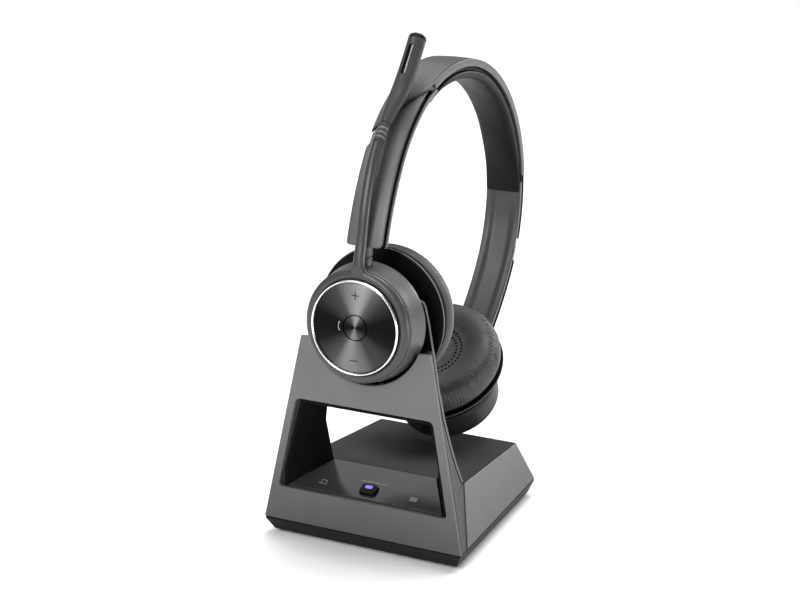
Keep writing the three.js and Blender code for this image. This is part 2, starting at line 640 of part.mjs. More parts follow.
function buildCup(cup, name, boss, holes) {
  add(cup, `${name}_housing`, onCup(cut(housingGeometry(boss), stemHole(), ...holes)), SATIN);
  add(cup, `${name}_neck`, onCup(neckGeometry()), BLACK);
  add(cup, `${name}_cushion_plate`, onCup(plateGeometry()), BLACK);
  add(cup, `${name}_cushion`, onCup(cushionGeometry()), LEATHER);
  add(cup, `${name}_speaker`, onCup(driverGeometry()), STEEL);
}
buildCup(leftCup, 'left', 1.7, [padHole(-1, 2.3, 22, 28), padHole(1, 2.3, 22, 28)]);
buildCup(rightCup, 'right', 0, []);
add(leftCup, 'charge_contact_left', onCup(padHole(-1, 2.0, 23.9, 25.5)), BRASS);
add(leftCup, 'charge_contact_right', onCup(padHole(1, 2.0, 23.9, 25.5)), BRASS);
add(leftCup, 'headset_circuit_board', onCup(turned([[0, 7.2], [17, 7.2], [17, 8.4], [0, 8.4]], 32)), BOARD);
add(rightCup, 'headset_battery', onCup(turned([[0, 6.4], [14, 6.4], [14, 11.6], [0, 11.6]], 32)), STEEL);
const cap = [[0, 0.6], [17.6, 0.6], [21.4, 0.9], [23.4, 2.0], [HOUSING.front, 3.85], [0, 3.85]];
add(rightCup, 'right_cap', onCup(turned(cap)), SATIN);

// silver ring, control disc and centre button on the housing's boss
const ringProfile = Array.from({ length: 10 }, (_, i) => {
  const turn = (i / 10) * 2 * Math.PI;
  return [RING.r + RING.section * Math.cos(turn), RING.d + RING.section * Math.sin(turn)];
});
add(leftCup, 'silver_ring', onCup(turnedRing(ringProfile)), CHROME);
const discProfile = [[5.6, 0.5], [18.2, 0.5], [18.45, 0.75], [18.45, 1.6], [5.6, 1.6]];
add(leftCup, 'volume_disc', onCup(turnedRing(discProfile)), DISC);
const buttonProfile = [[0, 0.35], [4.9, 0.35], [5.25, 0.6], [5.25, 1.5], [0, 1.5]];
add(leftCup, 'call_button', onCup(turned(buttonProfile, 32)), DISC);

// ---- microphone boom: a turning hub ring with a thin arm, a ribbed grip and a fat tip -----------
// [height above the cup's axis, depth, half width, half thickness]
const BOOM_ARM = [
  [22.2, 2.3, 6.4, 1.3],
  [25.0, 2.5, 4.6, 1.4],
  [28.0, 3.3, 3.1, 1.5],
  [33.0, 4.4, 2.7, 1.5],
  [40.0, 5.7, 2.65, 1.5],
  [48.0, 7.0, 2.6, 1.5],
  [58.0, 9.6, 2.5, 1.6],
  [67.0, 13.2, 2.4, 1.7],
  [75.0, 17.8, 2.3, 1.9],
];
const BOOM_GRIP = [[75.4, 18.1], [81.6, 23.4]];
const BOOM_TIP = [
  [81.9, 23.7, 2.3],
  [85.5, 27.4, 2.9],
  [90.5, 32.8, 3.6],
  [95.5, 37.9, 3.9],
  [104.0, 44.5, 3.9],
  [113.6, 50.9, 3.9],
];
const BOOM_CAP = [[113.9, 51.1], [115.2, 51.9]];

// an oval ring square to the path at point i
function ovalRing(path, i, halfWidth, halfThick, count = 14) {
  const here = path[i];
  const next = path[Math.min(i + 1, path.length - 1)];
  const last = path[Math.max(i - 1, 0)];
  const along = new THREE.Vector2(next[0] - last[0], next[1] - last[1]).normalize();
  return Array.from({ length: count }, (_, k) => {
    const turn = (k / count) * 2 * Math.PI;
    const across = halfThick * Math.sin(turn);
    return v3(halfWidth * Math.cos(turn), here[1] + across * along.x, here[0] - across * along.y);
  });
}
const hubProfile = [
  [HUB.inner, HUB.d0 + 0.95], [HUB.face, HUB.d0 + 0.25], [22.4, HUB.d0 + 0.35],
  [23.6, 1.9], [HUB.outer, 3.1], [HUB.outer - 0.2, HUB.d1],
  [HUB.inner, HUB.d1],
];
const boomArm = loft(BOOM_ARM.map(([, , w, t], i) => ovalRing(BOOM_ARM, i, w, t)));
add(leftCup, 'boom_arm', onCup(join(turnedRing(hubProfile), boomArm)), SATIN);

const gripRings = [];
const ribs = 4;
for (let i = 0; i <= ribs * 4; i += 1) {
  const share = i / (ribs * 4);
  const point = BOOM_GRIP[0].map((v, k) => v + (BOOM_GRIP[1][k] - v) * share);
  gripRings.push([...point, i % 4 < 2 ? 2.45 : 2.1]);
}
add(leftCup, 'boom_grip', onCup(loft(gripRings.map(([, , r], i) => ovalRing(gripRings, i, r, r)))), RUBBER);
const tipBlank = loft(BOOM_TIP.map(([, , r], i) => ovalRing(BOOM_TIP, i, r, r, 16)));
const tipRun = new THREE.Vector2(BOOM_TIP[5][0] - BOOM_TIP[4][0], BOOM_TIP[5][1] - BOOM_TIP[4][1]);
const tipLean = Math.atan2(tipRun.y, tipRun.x);
const onTip = (g) => g.rotateX(-tipLean).translate(0, BOOM_TIP[4][1] + 0.6, BOOM_TIP[4][0] + 0.9);
const slot = (grow, out, deep) => (
  onTip(box([-0.9 - grow, -out, -6.4 - grow], [0.9 + grow, -deep, 6.4 + grow]))
);
add(leftCup, 'boom_tip', onCup(cut(tipBlank, slot(0.3, 6, 2.0))), SATIN);
add(leftCup, 'microphone_insert', onCup(slot(0, 3.4, 2.3)), CHROME);
const capRings = BOOM_CAP.map((p, i) => ovalRing(BOOM_CAP, i, 3.8, 3.8, 16));
add(leftCup, 'boom_end_cap', onCup(loft(capRings)), BLACK);

// power switch on the right housing's rim
const switchSlot = box([-1.6, 8.3, -27.5], [1.6, 13.3, -24]);
const rightHousing = rightCup.children.find((m) => m.name === 'right_housing');
rightHousing.geometry = closed(cut(rightHousing.geometry, onCup(switchSlot)));
add(rightCup, 'power_switch', onCup(box([-1.2, 8.7, -26.3], [1.2, 11.1, -24.1])), BLACK);

// the finished group stands centred on its own outline
const model = new THREE.Group();
model.add(base, headset);
model.position.y = -MIDDLE_Y;
export default model;
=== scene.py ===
# Looks for a wireless office headset docked in its charging base.
# Lengths in the tables are millimetres, as in the CAD source; MM turns them into metres.
# A cup's frame has x sideways, y along the cup's axis towards the head, z towards its stem,
# with its origin on the axis at the control disc's face: profiles are (radius, depth along y).
import math
import random

import bmesh
import bpy
from mathutils import Matrix, Vector, noise
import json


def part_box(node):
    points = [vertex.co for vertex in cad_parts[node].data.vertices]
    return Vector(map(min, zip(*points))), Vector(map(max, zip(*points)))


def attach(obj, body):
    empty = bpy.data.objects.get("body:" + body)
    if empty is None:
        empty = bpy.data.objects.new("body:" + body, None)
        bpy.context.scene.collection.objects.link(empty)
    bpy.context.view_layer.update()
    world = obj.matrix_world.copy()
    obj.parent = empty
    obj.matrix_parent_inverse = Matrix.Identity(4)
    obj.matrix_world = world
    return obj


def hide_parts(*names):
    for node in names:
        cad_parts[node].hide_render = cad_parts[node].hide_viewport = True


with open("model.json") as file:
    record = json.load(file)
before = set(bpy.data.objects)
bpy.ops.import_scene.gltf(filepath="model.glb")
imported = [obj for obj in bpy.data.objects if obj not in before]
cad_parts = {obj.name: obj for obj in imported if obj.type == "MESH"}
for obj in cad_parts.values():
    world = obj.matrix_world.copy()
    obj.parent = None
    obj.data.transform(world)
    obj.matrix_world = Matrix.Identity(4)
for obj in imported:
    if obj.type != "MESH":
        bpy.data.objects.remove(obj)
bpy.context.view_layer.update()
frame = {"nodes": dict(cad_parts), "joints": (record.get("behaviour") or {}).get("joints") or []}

MM = 0.001
NODES = frame["nodes"]
JOINTS = {joint["name"]: joint for joint in frame["joints"]}

# ---- driving dimensions --------------------------------------------------------------------
CUP_REACH, CUP_DEPTH = 35.2, 10.0
BAND_R, ARM_R, BAND_HALF = 70.5, 130.0, 8.8
COVER_HALF, SHELL_CROWN = 8.3, 0.3
BAND_LEAN, RIGHT_REACH = 32.0, 2.5
SHELL_T, LIP_DEPTH, LIP_WIDTH, LIP_END = 1.6, 3.35, 1.4, 54.0
SLIDER_DEPTH, SLIDER_HALF = (1.9, 3.3), 6.7
LINER_DEPTH = (3.6, 5.1)
CARRIER_END, LINER_START, SLIDER_START = 42.0, 53.5, 36.0
SEAM_CENTRE, SEAM_WINDOW, SEAM_SLANT = 67.5, 6.5, 60.0
ARM_TIP = 90 + 15.9 * ARM_R / BAND_R
PAD_END, PAD_DEPTH, PAD_HALF = 60.0, (5.35, 9.4), 8.4
RING_R, RING_HALF, RING_RISE, RING_DEPTH = 19.75, 0.52, 0.8, 0.4
DISC_R, BUTTON_R = 19.05, 5.2
CUSHION_CENTRE, CUSHION_SEAT, PUCKER = 35.85, 25.9, 0.5
MARK_FORWARD, FACE_DEPTH = 4.2, 4.15
SPINE_STEPS, ROUND, SAME_POINT = 96, 144, 1e-7
CAMERA_AZIMUTH, CAMERA_ELEVATION, CAMERA_DISTANCE, CAMERA_LENS = 27.14, 17.05, 835.1, 87.15
CAMERA_TARGET = (-1.36, -31.85, 101.98)
LIGHT_AIM = (0, 0, 0.1)


def joint_point(name):
    return Vector(JOINTS[name]["pos_m"])


def joint_axis(name):
    return Vector(JOINTS[name]["axis"]).normalized()


def cup_place(pivot, inward, up):
    place = Matrix((inward.cross(up), inward, up)).transposed().to_4x4()
    place.translation = pivot - inward * CUP_DEPTH * MM - up * CUP_REACH * MM
    return place


LEFT_CUP = cup_place(joint_point("left_swivel"), joint_axis("boom_turn"), joint_axis("left_swivel"))
RIGHT_CUP = cup_place(joint_point("right_swivel"), joint_axis("power_slide"), joint_axis("right_swivel"))
BAND = Matrix.Translation(joint_point("left_extension")) @ Matrix.Rotation(-math.radians(BAND_LEAN), 4, "X")
RIGHT_ARM = BAND @ Matrix.Rotation(-math.radians(RIGHT_REACH), 4, "X")
QUARTER_TURN = Matrix.Rotation(math.pi / 2, 4, "X")


# ---- mesh helpers --------------------------------------------------------------------------
def new_object(name, data, place=None):
    obj = bpy.data.objects.new(name, data)
    bpy.context.scene.collection.objects.link(obj)
    if place is not None:
        obj.matrix_world = place
    return obj


def build(name, points, faces, place=None):
    """A mesh object from points in millimetres, merged and with its faces pointing out."""
    mesh = bpy.data.meshes.new(name)
    mesh.from_pydata([Vector(p) * MM for p in points], [], faces)
    tidy(mesh)
    return new_object(name, mesh, place)


def tidy(mesh):
    bm = bmesh.new()
    bm.from_mesh(mesh)
    bmesh.ops.remove_doubles(bm, verts=bm.verts, dist=SAME_POINT)
    bmesh.ops.recalc_face_normals(bm, faces=bm.faces)
    bm.to_mesh(mesh)
    bm.free()


def smooth(obj, angle=38):
    obj.data.shade_smooth()
    obj.data.set_sharp_from_angle(angle=math.radians(angle))
    return obj


def rounded(corners, steps=3):
    """A closed outline whose corners (x, y, radius) are turned into small arcs."""
    count = len(corners)
    outline = []
    for i, (x, y, radius) in enumerate(corners):
        here = Vector((x, y))
        before = Vector(corners[i - 1][:2]) - here
        after = Vector(corners[(i + 1) % count][:2]) - here
        reach = min(radius, before.length * 0.49, after.length * 0.49)
        if radius == 0:
            outline.append((x, y))
            continue
        start = here + before.normalized() * reach if before.length > 1e-6 else here
        end = here + after.normalized() * reach if after.length > 1e-6 else here
        for k in range(steps + 1):
            t = k / steps
            p = start * (1 - t) ** 2 + here * 2 * t * (1 - t) + end * t ** 2
            outline.append((p.x, p.y))
    return outline


def lathe(name, profile, place, segments=ROUND, steps=3):
    """Turns a closed (radius, depth, corner radius) profile about the local Y axis."""
    outline = rounded(profile, steps)
    count = len(outline)
    points = []
    for k in range(segments):
        turn = 2 * math.pi * k / segments
        points += [(r * math.cos(turn), d, r * math.sin(turn)) for r, d in outline]
    faces = []
    for k in range(segments):
        for i in range(count):
            if outline[i][0] == 0 and outline[(i + 1) % count][0] == 0:
                continue
            a, b = k * count, ((k + 1) % segments) * count
            j = (i + 1) % count
            faces.append((a + i, a + j, b + j, b + i))
    obj = build(name, points, faces, place)
    bm = bmesh.new()
    bm.from_mesh(obj.data)
    bmesh.ops.dissolve_degenerate(bm, edges=bm.edges, dist=SAME_POINT)
    bm.to_mesh(obj.data)
    bm.free()
    return smooth(obj)


def loft(name, rings, place):
    """Joins equal rings of points in millimetres, with each end closed by one face."""
    count = len(rings[0])
    points = [p for ring in rings for p in ring]
    faces = []
    for k in range(len(rings) - 1):
        for i in range(count):
            j = (i + 1) % count
            faces.append((k * count + i, k * count + j, (k + 1) * count + j, (k + 1) * count + i))
    faces.append(tuple(range(count)))
    faces.append(tuple((len(rings) - 1) * count + i for i in range(count)))
    return build(name, points, faces, place)


def band_point(angle, x, depth):
    """A point of the headband: angle from the crown in degrees, x across, depth below its outside."""
    length = math.radians(angle) * BAND_R
    side = 1 if length >= 0 else -1
    bend = abs(length) / BAND_R
    if bend <= math.pi / 2:
        return (x, side * (BAND_R - depth) * math.sin(bend), (BAND_R - depth) * math.cos(bend))
    turn = (abs(length) - BAND_R * math.pi / 2) / ARM_R
    y = (BAND_R - ARM_R) + (ARM_R - depth) * math.cos(turn)
    return (x, side * y, -(ARM_R - depth) * math.sin(turn))


def band_sweep(name, section, start, end, place, steps):
    """Sweeps section(share, angle_at) -> [(x, depth)] along the band, from angle start(x) to end(x)."""
    rings = []
    for k in range(steps + 1):
        share = 0.5 - 0.5 * math.cos(math.pi * k / steps)
        ring = []

        def angle_at(x):
            return start(x) * (1 - share) + end(x) * share

        for x, depth in section(share, angle_at):
            ring.append(band_point(angle_at(x), x, depth))
        rings.append(ring)
    return smooth(loft(name, rings, place))


def spline(points, per_span):
    """Catmull-Rom through points of any size, as a list of tuples."""
    out = []
    last = len(points) - 1
    for i in range(last):
        p0, p1, p2, p3 = (points[max(i - 1, 0)], points[i], points[i + 1], points[min(i + 2, last)])
        for k in range(per_span):
            t = k / per_span
            out.append(tuple(
                0.5 * (2 * b + (c - a) * t + (2 * a - 5 * b + 4 * c - d) * t * t
                       + (3 * b - a - 3 * c + d) * t ** 3)
                for a, b, c, d in zip(p0, p1, p2, p3)
            ))
    return out + [tuple(points[-1])]


def apply_modifiers(obj):
    """Bakes an object's modifiers into its mesh."""
    depsgraph = bpy.context.evaluated_depsgraph_get()
    mesh = bpy.data.meshes.new_from_object(obj.evaluated_get(depsgraph))
    obj.modifiers.clear()
    obj.data = mesh
    return obj


def bevel(obj, width):
    """Rounds an object's sharp edges for good."""
    modifier = obj.modifiers.new("edges", "BEVEL")
    modifier.width = width * MM
    modifier.segments = 3
    modifier.limit_method = "ANGLE"
    modifier.angle_limit = math.radians(32)
    modifier.use_clamp_overlap = False
    apply_modifiers(obj)
    return smooth(obj, 50)


def cut(obj, cutter):
    """Takes a cutter's volume out of a piece for good."""
    modifier = obj.modifiers.new("cut", "BOOLEAN")
    modifier.object = cutter
    modifier.solver = "EXACT"
    bpy.context.view_layer.update()
    apply_modifiers(obj)
    bpy.data.objects.remove(cutter)
    return smooth(obj)


def refined(node, width):
    """A copy of a CAD node with clean faces and rounded edges, which stands for the node."""
    mesh = NODES[node].data.copy()
    mesh.name = node + "_skin"
    for layer in ("custom_normal", "sharp_face", "sharp_edge"):
        if layer in mesh.attributes:
            mesh.attributes.remove(mesh.attributes[layer])
    bm = bmesh.new()
    bm.from_mesh(mesh)
    bmesh.ops.remove_doubles(bm, verts=bm.verts, dist=2e-5)
    bmesh.ops.dissolve_limit(bm, angle_limit=math.radians(0.6), verts=bm.verts, edges=bm.edges)
    bmesh.ops.recalc_face_normals(bm, faces=bm.faces)
    bm.to_mesh(mesh)
    bm.free()
    mesh.materials.clear()
    obj = new_object(node + "_finished", mesh)
    if width:
        bevel(obj, width)
    smooth(obj, 40)
    obj.modifiers.new("flat_faces", "WEIGHTED_NORMAL").keep_sharp = True
    return apply_modifiers(obj)


# ---- materials -----------------------------------------------------------------------------
def shader(name, roughness, metallic=0.0):
    material = bpy.data.materials.new(name)
    material.use_nodes = True
    principled = material.node_tree.nodes["Principled BSDF"]
    set_inputs(principled, {"Roughness": roughness, "Metallic": metallic})
    return material, material.node_tree, principled


def set_inputs(node, values):
    for name, value in values.items():
        node.inputs[name].default_value = value


def in_space(tree, kind, values):
    """A new shader node that works in the piece's own space, with some inputs set."""
    place = tree.nodes.new("ShaderNodeTexCoord")
    node = tree.nodes.new("ShaderNode" + kind)
    set_inputs(node, values)
    tree.links.new(place.outputs["Object"], node.inputs["Vector"])
    return node


def noise_texture(tree, size, detail=2.0, roughness=0.5):
    """A noise whose features are about size millimetres across."""
    settings = {"Scale": 1 / (size * MM), "Detail": detail, "Roughness": roughness}
    return in_space(tree, "TexNoise", settings).outputs["Fac"]


def ramp(tree, source, low, high, start=0.35, end=0.65):
    """Maps a 0 to 1 source onto a run between two colours or grey values."""
    node = tree.nodes.new("ShaderNodeValToRGB")
    node.color_ramp.elements[0].position = start
    node.color_ramp.elements[1].position = end
    node.color_ramp.elements[0].color = (*low, 1)
    node.color_ramp.elements[1].color = (*high, 1)
    tree.links.new(source, node.inputs["Fac"])
    return node.outputs["Color"]


def spread(tree, source, low, high, start=0.3, end=0.7):
    """Maps a source's run from start to end onto low to high."""
    node = tree.nodes.new("ShaderNodeMapRange")
    set_inputs(node, {"From Min": start, "From Max": end, "To Min": low, "To Max": high})
    tree.links.new(source, node.inputs["Value"])
    return node.outputs["Result"]


def bump(tree, principled, source, height, strength, under=None):
    node = tree.nodes.new("ShaderNodeBump")
    set_inputs(node, {"Strength": strength, "Distance": height * MM})
    tree.links.new(source, node.inputs["Height"])
    if under is not None:
        tree.links.new(under, node.inputs["Normal"])
    tree.links.new(node.outputs["Normal"], principled.inputs["Normal"])
    return node.outputs["Normal"]


def colour_surface(tree, principled, colour, roughness=None):
    tree.links.new(colour, principled.inputs["Base Color"])
    if roughness is not None:
        tree.links.new(roughness, principled.inputs["Roughness"])


def grey(value, warm=0.0):
    """A grey a touch bluer than neutral, or yellower where warm is more than 0."""
    return (value * (1 + warm), value, value * (1 - warm) + 0.02 * value)


def plastic(name, value, roughness, grain=0.35, height=0.012, gloss=0.5, painted_low_shade=1.0):
    """Moulded plastic: slight tone variation, a fine grain and faint handling marks in the gloss.
    painted_low_shade darkens its colour towards the foot of the base: painted shade for the dimmer light low
    down."""
    material, tree, principled = shader(name, roughness)
    principled.inputs["Specular IOR Level"].default_value = gloss
    tone = noise_texture(tree, 14, 3)
    colour = ramp(tree, tone, grey(value * 0.965), grey(value * 1.035))
    # painted shade: the colour is darker towards the foot of the base
    if painted_low_shade < 1:
        split = in_space(tree, "SeparateXYZ", {})
        shade = tree.nodes.new("ShaderNodeMix")
        shade.data_type = "RGBA"
        shade.blend_type = "MULTIPLY"
        shade.inputs["Factor"].default_value = 1
        tree.links.new(colour, shade.inputs["A"])
        painted_shade_fade = spread(tree, split.outputs["Z"], painted_low_shade, 1, 0.004, 0.06)
        tree.links.new(painted_shade_fade, shade.inputs["B"])
        colour = shade.outputs["Result"]
    marks = noise_texture(tree, 6, 5, 0.6)
    colour_surface(tree, principled, colour, spread(tree, marks, roughness - 0.03, roughness + 0.03))
    bump(tree, principled, noise_texture(tree, grain, 2), height, 0.6)
    return material


def metal(name, value, roughness, warm=0.0):
    material, tree, principled = shader(name, roughness, 1.0)
    tone = noise_texture(tree, 3, 4)
    colour = ramp(tree, tone, grey(value * 0.93, warm), grey(min(value * 1.05, 1), warm))
    marks = noise_texture(tree, 1.5, 4)
    colour_surface(tree, principled, colour, spread(tree, marks, roughness * 0.85, roughness * 1.15))
    bump(tree, principled, noise_texture(tree, 0.3, 2), 0.006, 0.4)
    return material


# painted highlight: tone of the turned metal, bright in wedge shapes above and below the centre, from
# straight up (0) round either side to straight down (1)
PAINTED_WEDGE_TONES = [
    (0.0, 0.17), (0.08, 0.14), (0.17, 0.045), (0.30, 0.022), (0.39, 0.006), (0.5, 0.004), (0.62, 0.008),
    (0.72, 0.03), (0.82, 0.04), (0.9, 0.10), (1.0, 0.13),
]
PAINTED_WEDGE_GAIN = 1.45


def spun_metal(name):
    """Dark aluminium turned on a lathe: its rings spread the gloss, and the bright wedge shapes above and
    below the centre are painted highlight in its colour.
    """
    material, tree, principled = shader(name, 0.36, 1.0)
    set_inputs(principled, {"Anisotropic": 0.9, "Anisotropic Rotation": 0.25})
    tangent = tree.nodes.new("ShaderNodeTangent")
    tangent.direction_type = "RADIAL"
    tangent.axis = "Y"
    tree.links.new(tangent.outputs["Tangent"], principled.inputs["Tangent"])
    split = in_space(tree, "SeparateXYZ", {})
    sideways = tree.nodes.new("ShaderNodeMath")
    sideways.operation = "ABSOLUTE"
    tree.links.new(split.outputs["X"], sideways.inputs[0])
    turn = tree.nodes.new("ShaderNodeMath")
    turn.operation = "ARCTAN2"
    tree.links.new(sideways.outputs[0], turn.inputs[0])
    tree.links.new(split.outputs["Z"], turn.inputs[1])
    # painted highlight: the colour runs from bright above and below the centre to dark at the sides
    painted_wedges = tree.nodes.new("ShaderNodeValToRGB")
    while len(painted_wedges.color_ramp.elements) < len(PAINTED_WEDGE_TONES):
        painted_wedges.color_ramp.elements.new(0.5)
    for element, (position, value) in zip(painted_wedges.color_ramp.elements, PAINTED_WEDGE_TONES):
        element.position = position
        element.color = (*grey(value * PAINTED_WEDGE_GAIN), 1)
    tree.links.new(spread(tree, turn.outputs[0], 0, 1, 0, math.pi), painted_wedges.inputs["Fac"])
    rings = in_space(tree, "TexWave", {"Scale": 900, "Distortion": 0.6})
    rings.wave_type = "RINGS"
    rings.rings_direction = "Y"
    gloss = spread(tree, rings.outputs["Fac"], 0.3, 0.42, 0, 1)
    colour_surface(tree, principled, painted_wedges.outputs["Color"], gloss)
    return material


def leatherette(name, value, roughness, cell=0.9, height=0.06, gloss=0.5, sheen=0.12):
    """Soft black leatherette: a cell grain over broad soft creases, with a mottled tone."""
    material, tree, principled = shader(name, roughness)
    set_inputs(principled, {"Specular IOR Level": gloss, "Sheen Weight": sheen, "Sheen Roughness": 0.45})
    cells = in_space(tree, "TexVoronoi", {"Scale": 1 / (cell * MM)})
    cells.feature = "DISTANCE_TO_EDGE"
    edges = spread(tree, cells.outputs["Distance"], 0, 1, 0, 0.12)
    broad = bump(tree, principled, noise_texture(tree, 3.5, 4), 0.12, 0.5)
    bump(tree, principled, edges, height, 0.55, broad)
    tone = noise_texture(tree, 5, 4, 0.6)
    colour = ramp(tree, tone, grey(value * 0.8), grey(value * 1.25))
    colour_surface(tree, principled, colour, spread(tree, tone, roughness - 0.06, roughness + 0.08))
    return material


def gloss_panel(name):
    """Black acrylic with a clean reflection and a few faint wipe marks."""
    material, tree, principled = shader(name, 0.14)
    tone = noise_texture(tree, 20, 3)
    colour = ramp(tree, tone, grey(0.03), grey(0.04))
    wipes = noise_texture(tree, 8, 6, 0.65)
    colour_surface(tree, principled, colour, spread(tree, wipes, 0.12, 0.18))
    return material


def glow(name, colour, strength):
    """A light pipe's plastic, lit by its own light where strength is more than 0."""
    material, tree, principled = shader(name, 0.4)
    tone = noise_texture(tree, 1.2, 2)
    low = tuple(c * 0.7 for c in colour)
    colour_surface(tree, principled, ramp(tree, tone, low, colour))
    set_inputs(principled, {"Emission Color": (*colour, 1), "Emission Strength": strength})
    return material


# FRONT and SIDE_PAINTED_LIGHT carry painted shade: darker towards the foot of the base
FRONT = plastic("front_satin", 0.122, 0.46, 0.28, 0.008, 0.5, 0.42)
# painted light: a lighter copy of the front panel's plastic for the side panels, which face the light more
SIDE_PAINTED_LIGHT = plastic("side_satin", 0.16, 0.42, 0.28, 0.008, 0.5, 0.42)
DECK = plastic("deck_matte", 0.033, 0.6, 0.32, 0.014, 0.25)
FRAME_SIDE = plastic("frame_matte", 0.035, 0.55, 0.32, 0.012, 0.3)
BLACK = plastic("black_matte", 0.006, 0.5, 0.35, 0.01, 0.15)
# deep black for black screens and liners, and painted shade where gaps, grooves and undersides fall dark
DEEP_BLACK_AND_PAINTED_SHADE = plastic("deep_black_and_painted_shade", 0.002, 0.7, 0.4, 0.01, 0.12)
SHELL = plastic("shell_satin", 0.078, 0.38, 0.24, 0.006)
# painted shade: a darker copy of SHELL for the far cup
SHELL_PAINTED_SHADE = plastic("shell_painted_shade", 0.02, 0.38, 0.24, 0.006, 0.15)
# a light grey for the grip's raised bands, and painted light for the plate's edge glint and the slider's face
# in the seam
LIGHT_GREY_AND_PAINTED_LIGHT = plastic("light_grey_and_painted_light", 0.15, 0.4, 0.24, 0.006)
RIM_PAINTED_HIGHLIGHT = plastic("rim_painted_highlight", 0.14, 0.42, 0.24, 0.006)
LINER = plastic("liner_satin", 0.05, 0.38, 0.24, 0.006)
PLATE = plastic("plate_satin", 0.003, 0.4, 0.25, 0.006, 0.08)
BOOM = plastic("boom_satin", 0.04, 0.34, 0.22, 0.003)
MARK = plastic("printed_mark", 0.3, 0.5, 0.3, 0.004)
DARK_MARK = plastic("sunk_mark", 0.003, 0.5, 0.3, 0.004, 0.2)
RUBBER = plastic("foot_rubber", 0.012, 0.85, 0.4, 0.02, 0.2)
TOUCH = gloss_panel("touch_acrylic")
RING = metal("satin_silver", 0.92, 0.22)
INSERT = metal("bright_silver", 0.3, 0.5)
STEEL = metal("plain_steel", 0.45, 0.32)
BRASS = metal("plated_contact", 0.25, 0.35, warm=0.2)
DISC = spun_metal("spun_aluminium_painted_wedges")
LEATHER = leatherette("ear_leatherette", 0.022, 0.47)
PAD_LEATHER = leatherette("pad_leatherette", 0.005, 0.45, 0.7, 0.03, 0.16, 0)
BOARD = plastic("circuit_board", 0.03, 0.4, 0.5, 0.02)
LIGHT_LINE = glow("light_line", (0.2, 0.2, 0.18), 0.0)
BUTTON_GLOW = glow("button_glow", (0.2, 0.13, 0.62), 0.9)


def place_piece(obj, body, material, slot, *nodes, turned=False):
    """Gives a piece its material, the body it rides on and the CAD nodes it stands for. slot is not used.
    A turned piece keeps the space it was turned in, which its material follows."""
    if obj.data.materials:
        obj.data.materials[0] = material
    else:
        obj.data.materials.append(material)
    if not turned:
        bpy.context.view_layer.update()
        obj.data.transform(obj.matrix_world)
        obj.matrix_world = Matrix.Identity(4)
    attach(obj, body)
    if nodes:
        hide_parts(*nodes)
    return obj


def paint(obj, material, test):
    """Before a piece is placed, gives a further material to faces whose centre and normal pass a test."""
    slots = obj.data.materials
    if not slots:
        slots.append(material)  # a stand-in, which place_piece replaces
    slots.append(material)
    index = len(slots) - 1
    for face in obj.data.polygons:
        if test(face.center, face.normal):
            face.material_index = index


def polygon(centre, radius, count):
    turns = [2 * math.pi * k / count for k in range(count)]
    return [(centre[0] + radius * math.cos(t), centre[1] + radius * math.sin(t)) for t in turns]


def prism_set(name, outlines, lift, thick, place):
    """Thin closed plates, each from a (x, z) outline on a cup's face or a panel: one object."""
    points, faces = [], []
    for outline in outlines:
        start, count = len(points), len(outline)
        points += [(x, lift, z) for x, z in outline] + [(x, lift + thick, z) for x, z in outline]
        faces.append(tuple(start + i for i in range(count)))
        faces.append(tuple(start + count + i for i in reversed(range(count))))
        for i in range(count):
            j = (i + 1) % count
            faces.append((start + i, start + j, start + count + j, start + count + i))
    return build(name, points, faces, place)


def rectangle(x0, z0, x1, z1):
    return [(x0, z0), (x1, z0), (x1, z1), (x0, z1)]


def rounded_rectangle(x0, z0, x1, z1, radius, steps):
    return rounded([(x, z, radius) for x, z in rectangle(x0, z0, x1, z1)], steps)


# ---- charging base -------------------------------------------------------------------------
def make_base():
    wall_pieces = [
        ("plinth_tray", 0.45, BLACK, "black_matte"), ("left_side_panel", 0.35, SIDE_PAINTED_LIGHT, "side_satin"),
        ("right_side_panel", 0.35, SIDE_PAINTED_LIGHT, "side_satin"), ("deck_cover", 0.3, DECK, "deck_matte"),
        ("rear_panel", 0.3, DECK, "deck_matte"), ("power_inlet", 0.2, BLACK, "black_matte"),
        ("usb_socket", 0.15, STEEL, "steel"), ("phone_socket", 0.2, BLACK, "black_matte"),
        ("cradle_frame", 0.3, FRAME_SIDE, "deck_matte"), ("window_liner", 0.12, DEEP_BLACK_AND_PAINTED_SHADE, "black_matte"),
        ("cradle_saddle", 0.15, BLACK, "black_matte"),
        ("front_panel", 0.0, FRONT, "panel_satin"), ("touch_panel", 0.15, TOUCH, "black_gloss"),
        ("status_light", 0.0, LIGHT_LINE, "light_pipe"),
        ("charge_pin_left", 0.15, BRASS, "brass"), ("charge_pin_right", 0.15, BRASS, "brass"),
    ]
    for node, width, material, slot in wall_pieces:
        place_piece(refined(node, width), "base", material, slot, node)
    sheet = refined("back_panel", 0.3)
    paint(sheet, DEEP_BLACK_AND_PAINTED_SHADE, lambda centre, normal: normal.y < -0.9)
    place_piece(sheet, "base", FRONT, "panel_satin", "back_panel")
    place_piece(refined("dock_button", 0.3), "dock_button", BLACK, "black_matte", "dock_button")


def make_feet():
    for i in range(1, 5):
        node = f"foot_{i}"
        low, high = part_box(node)
        radius, height = (high.x - low.x) / 2 / MM, (high.z - low.z) / MM
        profile = [(0, 0, 0), (radius, 0, 0.5), (radius, height, 0.3), (0, height, 0)]
        centre = Vector(((low.x + high.x) / 2, (low.y + high.y) / 2, low.z))
        upright = Matrix.Translation(centre) @ QUARTER_TURN
        place_piece(lathe(f"{node}_pad", profile, upright, 64), "base", RUBBER, "rubber_black", node)


def on_top(node, x, y):
    """The place of a mark on a node's upper face: x along it, z up its slope, y into it."""
    found, point, normal, _ = NODES[node].ray_cast(Vector((x, y, 1)), Vector((0, 0, -1)))
    assert found, node
    up_slope = Vector((1, 0, 0)).cross(-normal).normalized()
    place = Matrix((Vector((1, 0, 0)), -normal, up_slope)).transposed().to_4x4()
    place.translation = point
    return place


